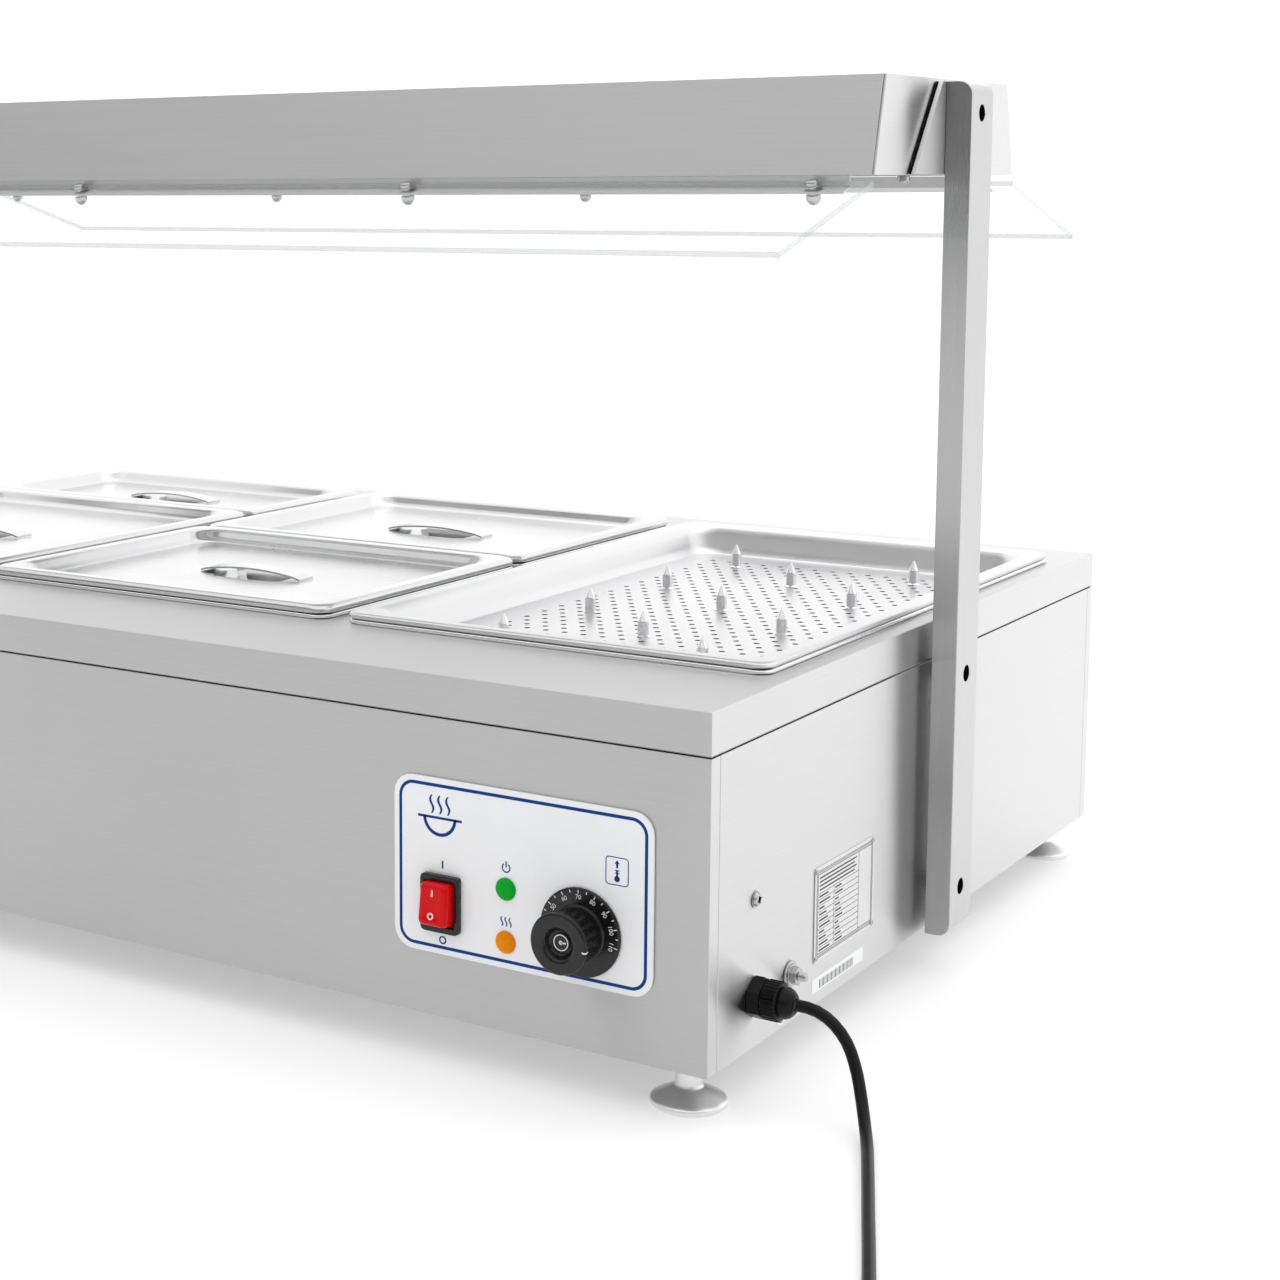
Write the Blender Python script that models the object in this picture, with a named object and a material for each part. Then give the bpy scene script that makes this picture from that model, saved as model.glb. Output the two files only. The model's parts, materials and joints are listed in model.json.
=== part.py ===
"""Countertop steam table unit: a stainless well for gastronorm pans under a heated bridge.

Metres, +Z up. The unit stands on z = 0 with its controls facing -Y, and the origin is
the middle of its outline on the surface that it stands on.
"""

import math

import bmesh
import bpy
from mathutils import Matrix, Vector

# ---------------------------------------------------------------- driving dimensions

GAP = 0.0003  # left between pieces that touch
SHEET = 0.0015  # stainless sheet

WIDTH = 1.036  # body, left to right
DEPTH = 0.698  # body, front to back
KNOB_REACH = 0.0305  # how far the knob stands out of the front
FOOT_HEIGHT = 0.030
BODY_HEIGHT = 0.222  # underside to worktop
SKIRT_DROP = 0.027  # folded edge of the worktop

COLUMN_PITCH = 0.3405  # from one column of pans to the next
PAN_WIDTH = 0.325  # gastronorm flange, left to right
WELL_DEPTH_Y = 0.530  # gastronorm 1/1 flange, front to back
WELL_FRONT = 0.106  # from the front panel to the pans' front edge
FLANGE_LIP = 0.008  # how far a pan's flange lies on the worktop

POST_GAP = 0.005  # between the body's side and a post
POST_THICK = 0.018
POST_WIDTH = 0.041
POST_TOP = 0.372  # above the worktop
POST_BOTTOM = -0.222
POST_CORNER = 0.009  # rounding of the outer ends
POST_HOLES = (0.3507, -0.0363, -0.1897)  # heights above the worktop
POST_HOLE_RADIUS = 0.0058

HOOD_BOTTOM = 0.309  # above the worktop
HOOD_TOP = 0.374
HOOD_BOTTOM_DEPTH = 0.256
HOOD_TOP_DEPTH = 0.224
HOOD_LIP = 0.016  # sheet turned in under the hood

GUARD_EDGE_Y = 0.080  # lower edge of the front guard, from the front panel
GUARD_EDGE_Z = 0.2615  # above the worktop
GUARD_SLOPE = math.radians(16.6)
GUARD_LENGTH = 0.1465
GUARD_THICK = 0.004
STRIP_LIP = 0.010  # how far the angle strip reaches under a guard
STRIP_INSET = 0.0175  # from the hood's end to the strip's

PANEL_LEFT = -0.222  # control plate, from the body's right side
PANEL_RIGHT = -0.036
PANEL_TOP = -0.066  # below the worktop
PANEL_BOTTOM = -0.180
DIAL_X = -0.085
DIAL_Z = -0.1465
SWITCH_X = -0.1854
SWITCH_Z = -0.146
LAMP_X = -0.1385
LAMP_Z = (-0.129, -0.163)

GLAND_Y = 0.062  # from the front panel
GLAND_Z = 0.063
GLAND_LENGTH = 0.028
EARTH_Y = 0.113
EARTH_Z = 0.062
CORD_DIAMETER = 0.0075
COIL_MID_RADIUS = 0.041

# ---------------------------------------------------------------- derived planes

RIGHT = WIDTH / 2
LEFT = -RIGHT
FRONT = (KNOB_REACH - DEPTH) / 2
BACK = FRONT + DEPTH
BASE = FOOT_HEIGHT
TOP = BASE + BODY_HEIGHT
BRIDGE_Y = (FRONT + BACK) / 2  # the bridge stands over the middle of the body
PANS_FRONT = FRONT + WELL_FRONT
PANS_BACK = PANS_FRONT + WELL_DEPTH_Y
COLUMNS = (COLUMN_PITCH, 0.0, -COLUMN_PITCH)  # right, centre, left


# ---------------------------------------------------------------- materials


def material(name, colour, roughness, metallic):
    made = bpy.data.materials.new(name)
    made.use_nodes = True
    made.diffuse_color = (*colour, 1.0)
    shader = made.node_tree.nodes["Principled BSDF"]
    shader.inputs["Base Color"].default_value = (*colour, 1.0)
    shader.inputs["Roughness"].default_value = roughness
    shader.inputs["Metallic"].default_value = metallic
    return made


# slot: colour, roughness, metallic
FINISHES = {
    "brushed_steel": ((0.62, 0.62, 0.63), 0.35, 1.0),
    "polished_steel": ((0.75, 0.75, 0.76), 0.15, 1.0),
    "inner_steel": ((0.50, 0.50, 0.51), 0.45, 1.0),
    "panel_white": ((0.88, 0.89, 0.91), 0.40, 0.0),
    "black_plastic": ((0.02, 0.02, 0.022), 0.35, 0.0),
    "red_lens": ((0.70, 0.02, 0.03), 0.20, 0.0),
    "green_lens": ((0.05, 0.55, 0.15), 0.20, 0.0),
    "orange_lens": ((0.95, 0.45, 0.05), 0.20, 0.0),
    "clear_glass": ((0.90, 0.95, 0.95), 0.05, 0.0),
    "lamp_glass": ((0.95, 0.93, 0.88), 0.10, 0.0),
    "ceramic": ((0.80, 0.78, 0.72), 0.60, 0.0),
    "cord_rubber": ((0.015, 0.015, 0.016), 0.50, 0.0),
}


# ---------------------------------------------------------------- mesh helpers


def place(name, bm, slot, origin=(0, 0, 0)):
    """Turns a bmesh in world coordinates into an object whose own origin is at origin."""
    bmesh.ops.recalc_face_normals(bm, faces=bm.faces)
    bmesh.ops.transform(bm, matrix=Matrix.Translation(-Vector(origin)), verts=bm.verts)
    mesh = bpy.data.meshes.new(name)
    bm.to_mesh(mesh)
    bm.free()
    obj = bpy.data.objects.new(name, mesh)
    obj.location = origin
    bpy.context.scene.collection.objects.link(obj)
    if slot is not None:
        mesh.materials.append(MATERIALS[slot])
    return obj


def smooth(obj, angle=35):
    obj.data.shade_smooth()
    obj.data.set_sharp_from_angle(angle=math.radians(angle))
    return obj


def box_mesh(low, high, bm=None):
    bm = bm or bmesh.new()
    made = bmesh.ops.create_cube(bm, size=1.0)["verts"]
    size = [high[i] - low[i] for i in range(3)]
    middle = [(high[i] + low[i]) / 2 for i in range(3)]
    bmesh.ops.scale(bm, vec=size, verts=made)
    bmesh.ops.translate(bm, vec=middle, verts=made)
    return bm


def box(name, low, high, slot, origin=(0, 0, 0)):
    return place(name, box_mesh(low, high), slot, origin)


def prism_mesh(outline, axis, low, high, bm=None):
    """Extrudes an outline along an axis. The outline's two numbers are the other two axes, in order."""
    bm = bm or bmesh.new()

    def point(pair, along):
        values = list(pair)
        values.insert("xyz".index(axis), along)
        return bm.verts.new(values)

    near = [point(pair, low) for pair in outline]
    far = [point(pair, high) for pair in outline]
    count = len(outline)
    bm.faces.new(near)
    bm.faces.new(list(reversed(far)))
    for i in range(count):
        j = (i + 1) % count
        bm.faces.new((near[j], near[i], far[i], far[j]))
    return bm


def prism(name, outline, axis, low, high, slot, origin=(0, 0, 0)):
    return place(name, prism_mesh(outline, axis, low, high), slot, origin)


AXIS_TURN = {
    "x": Matrix.Rotation(math.radians(90), 4, "Y"),
    "y": Matrix.Rotation(math.radians(-90), 4, "X"),
    "z": Matrix.Identity(4),
}


def lathe_mesh(profile, axis, centre, sides=24, bm=None):
    """Turns (radius, height) points about an axis through centre. The ends are on the axis or are capped."""
    bm = bm or bmesh.new()
    turn = Matrix.Translation(centre) @ AXIS_TURN[axis]
    rings = []
    for radius, height in profile:
        if radius == 0:
            rings.append([bm.verts.new(turn @ Vector((0, 0, height)))])
            continue
        angles = [2 * math.pi * i / sides for i in range(sides)]
        points = [Vector((radius * math.cos(a), radius * math.sin(a), height)) for a in angles]
        rings.append([bm.verts.new(turn @ p) for p in points])
    for low, high in zip(rings, rings[1:]):
        for i in range(sides):
            j = (i + 1) % sides
            if len(low) == 1:
                bm.faces.new((low[0], high[i], high[j]))
            elif len(high) == 1:
                bm.faces.new((low[i], low[j], high[0]))
            else:
                bm.faces.new((low[i], low[j], high[j], high[i]))
    for ring in (rings[0], rings[-1]):
        if len(ring) > 1:
            bm.faces.new(ring)
    return bm


def lathe(name, profile, axis, centre, slot, sides=24):
    return smooth(place(name, lathe_mesh(profile, axis, centre, sides), slot, centre))


def rounded_ring(centre, half, radius, z, steps=5):
    """Points round a rounded rectangle, anticlockwise."""
    points = []
    corners = ((1, 1, 0), (-1, 1, 90), (-1, -1, 180), (1, -1, 270))
    for sign_x, sign_y, start in corners:
        corner_x = centre[0] + sign_x * (half[0] - radius)
        corner_y = centre[1] + sign_y * (half[1] - radius)
        for i in range(steps + 1):
            angle = math.radians(start + 90 * i / steps)
            x = corner_x + radius * math.cos(angle)
            y = corner_y + radius * math.sin(angle)
            points.append(Vector((x, y, z)))
    return points


def ring_solid(name, rings, slot, origin):
    """A closed skin through rings of points, with the first and the last ring filled."""
    bm = bmesh.new()
    loops = [[bm.verts.new(p) for p in ring] for ring in rings]
    for low, high in zip(loops, loops[1:]):
        for i in range(len(low)):
            j = (i + 1) % len(low)
            bm.faces.new((low[i], low[j], high[j], high[i]))
    bm.faces.new(loops[0])
    bm.faces.new(loops[-1])
    return smooth(place(name, bm, slot, origin), 30)


def boolean(obj, bm, operation):
    """Cuts a bmesh out of an object, or joins it on. The helper stays in the scene, unrendered."""
    helper = place(f"{obj.name}_{operation.lower()}_{len(obj.modifiers)}", bm, None)
    helper.hide_render = True
    helper.display_type = "WIRE"
    modifier = obj.modifiers.new(operation.title(), "BOOLEAN")
    modifier.operation = operation
    modifier.object = helper
    return obj


def cut(obj, bm):
    return boolean(obj, bm, "DIFFERENCE")


def join(obj, bm):
    return boolean(obj, bm, "UNION")


def mirrored_outline(points):
    """Closes an outline given from the middle of the top to the middle of the bottom, mirrored in its first axis."""
    return points + [(-a, b) for a, b in reversed(points)]


# ---------------------------------------------------------------- body


def make_top_plate():
    """The worktop, folded down all round, with a rounded opening for each column of pans."""
    plate = box(
        "top_plate", (LEFT, FRONT, TOP - SKIRT_DROP), (RIGHT, BACK, TOP), "brushed_steel"
    )
    inside = box_mesh(
        (LEFT + SHEET, FRONT + SHEET, TOP - SKIRT_DROP - SHEET),
        (RIGHT - SHEET, BACK - SHEET, TOP - SHEET),
    )
    cut(plate, inside)
    half = (PAN_WIDTH / 2 - FLANGE_LIP, WELL_DEPTH_Y / 2 - FLANGE_LIP)
    for column in COLUMNS:
        centre = (column, (PANS_FRONT + PANS_BACK) / 2)
        outline = rounded_ring(centre, half, 0.02, 0)
        cut(plate, prism_mesh([(p.x, p.y) for p in outline], "z", TOP - 0.01, TOP + 0.01))
    return plate


PANEL_LIFT = 0.001  # shadow gap under the worktop's skirt
FOLD = 0.012  # width of a sheet's turned edge


def make_front_panel():
    """Front sheet with its ends turned back round the corners, cut for the controls."""
    top = TOP - SKIRT_DROP - PANEL_LIFT
    outline = [
        (LEFT, FRONT),
        (RIGHT, FRONT),
        (RIGHT, FRONT + FOLD),
        (RIGHT - SHEET, FRONT + FOLD),
        (RIGHT - SHEET, FRONT + SHEET),
        (LEFT + SHEET, FRONT + SHEET),
        (LEFT + SHEET, FRONT + FOLD),
        (LEFT, FRONT + FOLD),
    ]
    panel = prism("front_panel", outline, "z", BASE, top, "brushed_steel")
    for hole in control_holes(0.006):
        cut(panel, hole)
    return panel


SWITCH_HALF = (0.0143, 0.0187)  # bezel
SWITCH_BODY_HALF = (0.0130, 0.0165)
SHAFT_RADIUS = 0.003
LAMP_RADIUS = 0.0072
LAMP_BODY_RADIUS = 0.005


def control_holes(depth):
    """Fresh cutters for the switch, the two lamps and the knob's shaft, round the front sheets."""
    low, high = FRONT - depth, FRONT + depth
    x, z = RIGHT + SWITCH_X, TOP + SWITCH_Z
    half_x, half_z = SWITCH_BODY_HALF[0] + GAP, SWITCH_BODY_HALF[1] + GAP
    holes = [box_mesh((x - half_x, low, z - half_z), (x + half_x, high, z + half_z))]
    rounds = [(LAMP_X, lamp_z, LAMP_BODY_RADIUS + GAP) for lamp_z in LAMP_Z]
    rounds.append((DIAL_X, DIAL_Z, SHAFT_RADIUS + 0.001))
    for hole_x, hole_z, radius in rounds:
        profile = ((radius, -depth), (radius, depth))
        holes.append(lathe_mesh(profile, "y", (RIGHT + hole_x, FRONT, TOP + hole_z), 16))
    return holes


def make_side_panel(name, side):
    """A plain side sheet between the front and rear folds, with a lip turned in at the bottom."""
    outer = side * WIDTH / 2
    inner = outer - side * SHEET
    low_y, high_y = FRONT + FOLD + GAP, BACK - FOLD - GAP
    top = TOP - SKIRT_DROP - PANEL_LIFT
    lip = inner - side * FOLD
    outline = [(outer, BASE), (outer, top), (inner, top), (inner, BASE + SHEET), (lip, BASE + SHEET), (lip, BASE)]
    return prism(name, outline, "y", low_y, high_y, "brushed_steel")


def make_rear_panel():
    """Rear sheet with turned ends and two rows of vent slots."""
    top = TOP - SKIRT_DROP - PANEL_LIFT
    outline = [
        (RIGHT, BACK),
        (LEFT, BACK),
        (LEFT, BACK - FOLD),
        (LEFT + SHEET, BACK - FOLD),
        (LEFT + SHEET, BACK - SHEET),
        (RIGHT - SHEET, BACK - SHEET),
        (RIGHT - SHEET, BACK - FOLD),
        (RIGHT, BACK - FOLD),
    ]
    panel = prism("rear_panel", outline, "z", BASE, top, "brushed_steel")
    slot_count, slot_pitch, slot_width, slot_height = 8, 0.012, 0.004, 0.040
    slots = bmesh.new()
    for group in (-0.33, 0.33):
        for i in range(slot_count):
            x = group + (i - (slot_count - 1) / 2) * slot_pitch
            low = (x - slot_width / 2, BACK - 0.01, BASE + 0.05)
            high = (x + slot_width / 2, BACK + 0.01, BASE + 0.05 + slot_height)
            box_mesh(low, high, slots)
    return cut(panel, slots)


FEET = {"front_right": (1, -1), "front_left": (-1, -1), "rear_right": (1, 1), "rear_left": (-1, 1)}
FOOT_INSET = (0.027, 0.030)
STUD_RADIUS = 0.005
FOOT_TRAVEL = 0.012


def foot_centre(signs):
    x = signs[0] * (WIDTH / 2 - FOOT_INSET[0])
    y = FRONT + FOOT_INSET[1] if signs[1] < 0 else BACK - FOOT_INSET[1]
    return x, y


def make_base_plate():
    """Floor of the body, inside the side lips, with a hole for each foot's stud."""
    margin = SHEET + FOLD + 2 * GAP
    plate = box(
        "base_plate",
        (LEFT + margin, FRONT + SHEET + GAP, BASE),
        (RIGHT - margin, BACK - SHEET - GAP, BASE + SHEET),
        "inner_steel",
    )
    for signs in FEET.values():
        x, y = foot_centre(signs)
        hole = STUD_RADIUS + 0.0005
        cut(plate, lathe_mesh(((hole, -0.01), (hole, 0.01)), "z", (x, y, BASE), 20))
    return plate


def make_feet():
    """Turned levelling feet: a wide disc, a neck up to the base and a threaded stud inside the body."""
    neck = 0.0082
    profile = (
        (0, 0),
        (0.0225, 0),
        (0.024, 0.001),
        (0.024, 0.0035),
        (0.0225, 0.0045),
        (0.0105, 0.0105),
        (neck, 0.0125),
        (neck, FOOT_HEIGHT - GAP),
        (STUD_RADIUS, FOOT_HEIGHT - GAP),
        (STUD_RADIUS, FOOT_HEIGHT + 0.022),
        (0, FOOT_HEIGHT + 0.022),
    )
    for place_name, signs in FEET.items():
        lathe(f"foot_{place_name}", profile, "z", (*foot_centre(signs), 0), "polished_steel", 28)


# ---------------------------------------------------------------- well and heating

WELL_WALL = 0.0012
WELL_FLOOR = TOP - 0.145
WELL_SIDE = 0.006  # from the pans' flanges out to the well's wall


def well_limits():
    """Outer low and high x and y of the water well."""
    half = COLUMN_PITCH + PAN_WIDTH / 2 + WELL_SIDE
    return -half, half, PANS_FRONT - WELL_SIDE, PANS_BACK + WELL_SIDE


def make_water_well():
    x0, x1, y0, y1 = well_limits()
    centre = ((x0 + x1) / 2, (y0 + y1) / 2)
    half = ((x1 - x0) / 2, (y1 - y0) / 2)
    inner = (half[0] - WELL_WALL, half[1] - WELL_WALL)
    rim = TOP - SHEET - GAP
    rings = (
        rounded_ring(centre, half, 0.02, WELL_FLOOR, 3),
        rounded_ring(centre, half, 0.02, rim, 3),
        rounded_ring(centre, inner, 0.02 - WELL_WALL, rim, 3),
        rounded_ring(centre, inner, 0.02 - WELL_WALL, WELL_FLOOR + WELL_WALL, 3),
    )
    return ring_solid("water_well", rings, "inner_steel", (0, 0, 0))


def poly_curve(name, points, diameter, slot, resolution):
    """A round tube along points, as a curve with filled ends."""
    curve = bpy.data.curves.new(name, "CURVE")
    curve.dimensions = "3D"
    curve.bevel_depth = diameter / 2
    curve.bevel_resolution = resolution
    curve.use_fill_caps = True
    spline = curve.splines.new("POLY")
    spline.points.add(len(points) - 1)
    for target, point in zip(spline.points, points):
        target.co = (*point, 1.0)
    obj = bpy.data.objects.new(name, curve)
    bpy.context.scene.collection.objects.link(obj)
    curve.materials.append(MATERIALS[slot])
    return obj


HEATER_DIAMETER = 0.0085


def make_heaters():
    """A hairpin heating tube under the well for each column of pans."""
    z = WELL_FLOOR - GAP - HEATER_DIAMETER / 2
    half = 0.085
    y_front = PANS_FRONT + 0.03
    y_turn = PANS_BACK - 0.03 - half
    for number, column in enumerate(COLUMNS, 1):
        points = [(column - half, y_front, z), (column - half, y_turn, z)]
        for i in range(1, 12):
            angle = math.pi * i / 12
            points.append((column - half * math.cos(angle), y_turn + half * math.sin(angle), z))
        points += [(column + half, y_turn, z), (column + half, y_front, z)]
        poly_curve(f"heating_tube_{number}", points, HEATER_DIAMETER, "inner_steel", 1)


def make_heat_shield():
    """A shallow tray under the heaters that keeps their heat off the base."""
    x0, x1, y0, y1 = well_limits()
    centre = ((x0 + x1) / 2, (y0 + y1) / 2)
    half = ((x1 - x0) / 2 - 0.01, (y1 - y0) / 2 - 0.01)
    inner = (half[0] - 0.001, half[1] - 0.001)
    floor, rim = BASE + 0.030, WELL_FLOOR - 0.012
    rings = (
        rounded_ring(centre, half, 0.01, floor, 1),
        rounded_ring(centre, half, 0.01, rim, 1),
        rounded_ring(centre, inner, 0.009, rim, 1),
        rounded_ring(centre, inner, 0.009, floor + 0.001, 1),
    )
    return ring_solid("heat_shield", rings, "inner_steel", (0, 0, 0))


# ---------------------------------------------------------------- controls

PLATE_THICK = 0.0015
PLATE_FACE = FRONT - GAP - PLATE_THICK  # front of the control plate
PLATE_CORNER = 0.0135


def make_control_plate():
    centre = (RIGHT + (PANEL_LEFT + PANEL_RIGHT) / 2, TOP + (PANEL_TOP + PANEL_BOTTOM) / 2)
    half = ((PANEL_RIGHT - PANEL_LEFT) / 2, (PANEL_TOP - PANEL_BOTTOM) / 2)
    outline = [(p.x, p.y) for p in rounded_ring(centre, half, PLATE_CORNER, 0, 5)]
    plate = prism("control_plate", outline, "y", PLATE_FACE, FRONT - GAP, "panel_white")
    for hole in control_holes(0.006):
        cut(plate, hole)
    return plate


ROCKER_HALF = (0.0103, 0.0138)
ROCKER_TURN = 16  # degrees from one side to the other
BEZEL_THICK = 0.0045
RECESS_DEPTH = 0.014


def make_switch():
    """A rocker switch: a bezel with its body behind, and a rocker that tips about a level pin."""
    x, z = RIGHT + SWITCH_X, TOP + SWITCH_Z
    face = PLATE_FACE - GAP - BEZEL_THICK
    bezel = [(p.x, p.y) for p in rounded_ring((x, z), SWITCH_HALF, 0.003, 0, 2)]
    housing = prism("switch_housing", bezel, "y", face, PLATE_FACE - GAP, "black_plastic")
    half_x, half_z = SWITCH_BODY_HALF
    body = box_mesh((x - half_x, face + 0.001, z - half_z), (x + half_x, FRONT + 0.028, z + half_z))
    join(housing, body)
    room = 0.0007
    recess = box_mesh(
        (x - ROCKER_HALF[0] - room, face - 0.01, z - ROCKER_HALF[1] - room),
        (x + ROCKER_HALF[0] + room, face + RECESS_DEPTH, z + ROCKER_HALF[1] + room),
    )
    cut(housing, recess)

    pivot = (x, face + 0.005, z)
    tip, waist, root = -0.0140, -0.0126, 0.0050
    outline = [
        (tip, ROCKER_HALF[1] - 0.0006),
        (waist, 0.0),
        (tip, -ROCKER_HALF[1] + 0.0006),
        (0.0, -ROCKER_HALF[1] + 0.0004),
        (root, -0.003),
        (root, 0.003),
        (0.0, ROCKER_HALF[1] - 0.0004),
    ]
    turn = math.radians(-ROCKER_TURN / 2)  # the upper half is pressed in
    turned = []
    for y, height in outline:
        turned_y = y * math.cos(turn) - height * math.sin(turn)
        turned_z = y * math.sin(turn) + height * math.cos(turn)
        turned.append((pivot[1] + turned_y, pivot[2] + turned_z))
    prism("switch_rocker", turned, "x", x - ROCKER_HALF[0], x + ROCKER_HALF[0], "red_lens", pivot)


def make_lamps():
    """Two domed indicator lamps, pushed through the plate and the front sheet."""
    for name, height, slot in (
        ("power_lamp", LAMP_Z[0], "green_lens"),
        ("heat_lamp", LAMP_Z[1], "orange_lens"),
    ):
        profile = (
            (0, -0.0035),
            (0.0035, -0.0032),
            (0.0060, -0.0022),
            (LAMP_RADIUS, -0.0008),
            (LAMP_RADIUS, -GAP),
            (LAMP_BODY_RADIUS, -GAP),
            (LAMP_BODY_RADIUS, 0.020),
            (0, 0.020),
        )
        lathe(name, profile, "y", (RIGHT + LAMP_X, PLATE_FACE, TOP + height), slot, 24)


DIAL_RADIUS = 0.028
DIAL_THICK = 0.0022
KNOB_RADIUS = 0.0193


def make_thermostat():
    """The numbered ring, the knob with its shaft, and the thermostat inside the body."""
    centre = (RIGHT + DIAL_X, PLATE_FACE, TOP + DIAL_Z)
    hole = SHAFT_RADIUS + 0.001
    back, face = -GAP, -GAP - DIAL_THICK
    ring = (
        (hole, face),
        (DIAL_RADIUS - 0.001, face),
        (DIAL_RADIUS, face + 0.0008),
        (DIAL_RADIUS, back),
        (hole, back),
        (hole, face),
    )
    bm = bmesh.new()
    dial = lathe_ring_mesh(ring[:-1], "y", centre, 36, bm)
    smooth(place("dial_ring", dial, "black_plastic", centre))

    tip = -(KNOB_REACH - (FRONT - PLATE_FACE))
    knob = (
        (0, tip + 0.004),
        (0.0085, tip + 0.004),
        (0.0105, tip),
        (KNOB_RADIUS - 0.001, tip),
        (KNOB_RADIUS, tip + 0.001),
        (0.0165, tip + 0.012),
        (0.0165, face - 0.0015),
        (0.0180, face - 0.0005),
        (0.0180, face - GAP),
        (SHAFT_RADIUS, face - GAP),
        (SHAFT_RADIUS, 0.012),
        (0, 0.012),
    )
    lathe("thermostat_knob", knob, "y", centre, "black_plastic", 36)

    body_half, body_depth = 0.022, 0.034
    start = PLATE_FACE + 0.012 + GAP
    box(
        "thermostat_body",
        (centre[0] - body_half, start, centre[2] - body_half),
        (centre[0] + body_half, start + body_depth, centre[2] + body_half),
        "ceramic",
    )


def lathe_ring_mesh(profile, axis, centre, sides, bm):
    """Turns a closed profile that stays off the axis into a ring."""
    turn = Matrix.Translation(centre) @ AXIS_TURN[axis]
    loops = []
    for radius, height in profile:
        angles = [2 * math.pi * i / sides for i in range(sides)]
        points = [Vector((radius * math.cos(a), radius * math.sin(a), height)) for a in angles]
        loops.append([bm.verts.new(turn @ p) for p in points])
    for index, low in enumerate(loops):
        high = loops[(index + 1) % len(loops)]
        for i in range(sides):
            j = (i + 1) % sides
            bm.faces.new((low[i], low[j], high[j], high[i]))
    return bm


# ---------------------------------------------------------------- pans and lids

FLANGE_HEIGHT = 0.0035
PAN_WALL = 0.0008
PAN_TAPER = 0.008  # how much each wall leans in
FLANGE_GAP = 0.0005  # half the gap between two flanges
FLANGE_CORNER = 0.012
PAN_BOTTOM_Z = TOP + GAP  # underside of a pan's flange
PAN_TOP_Z = PAN_BOTTOM_Z + FLANGE_HEIGHT


def pan_rings(centre, size, depth, bottom, height):
    """Rings from the middle of a pan's underside, out round its flange and in to its floor."""
    half = (size[0] / 2 - FLANGE_GAP, size[1] / 2 - FLANGE_GAP)
    wall = (half[0] - FLANGE_LIP - 0.003, half[1] - FLANGE_LIP - 0.003)
    foot = (wall[0] - PAN_TAPER, wall[1] - PAN_TAPER)
    floor = bottom - depth
    return (
        rounded_ring(centre, (foot[0] - 0.004, foot[1] - 0.004), 0.016, floor),
        rounded_ring(centre, foot, 0.02, floor + 0.004),
        rounded_ring(centre, wall, 0.02, bottom),
        rounded_ring(centre, half, FLANGE_CORNER, bottom),
        rounded_ring(centre, half, FLANGE_CORNER, bottom + height),
        rounded_ring(centre, (wall[0] - PAN_WALL, wall[1] - PAN_WALL), 0.02, bottom + height),
        rounded_ring(centre, (foot[0] - PAN_WALL, foot[1] - PAN_WALL), 0.02, floor + 0.004 + PAN_WALL),
        rounded_ring(centre, (foot[0] - 0.005, foot[1] - 0.005), 0.016, floor + PAN_WALL),
    )


def make_pan(name, centre, size, depth):
    rings = pan_rings(centre, size, depth, PAN_BOTTOM_Z, FLANGE_HEIGHT)
    return ring_solid(name, rings, "polished_steel", (*centre, PAN_BOTTOM_Z))


LID_SHEET = 0.001
LID_RIM_HEIGHT = 0.006
LID_RIM_WIDTH = 0.016
LID_PANEL_DROP = 0.011  # from the rim down to the middle panel
DISH_DEPTH = 0.013  # finger dish pressed into the middle of a lid
DISH_RADIUS = 0.026
DISH_FLOOR_RADIUS = 0.018
DISH_STRETCH = 1.6  # the dish is longer from left to right
STRAP_LENGTH = 0.098
STRAP_WIDTH = 0.018
STRAP_THICK = 0.0015
STRAP_RISE = 0.005


def oval_mesh(profile, centre):
    """A turned shape about an upright axis, stretched from left to right."""
    bm = lathe_mesh(profile, "z", centre, 28)
    middle = Vector(centre)
    back = Matrix.Translation(middle)
    stretch = Matrix.Diagonal((DISH_STRETCH, 1.0, 1.0, 1.0))
    bmesh.ops.transform(bm, matrix=back @ stretch @ back.inverted(), verts=bm.verts)
    return bm


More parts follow.
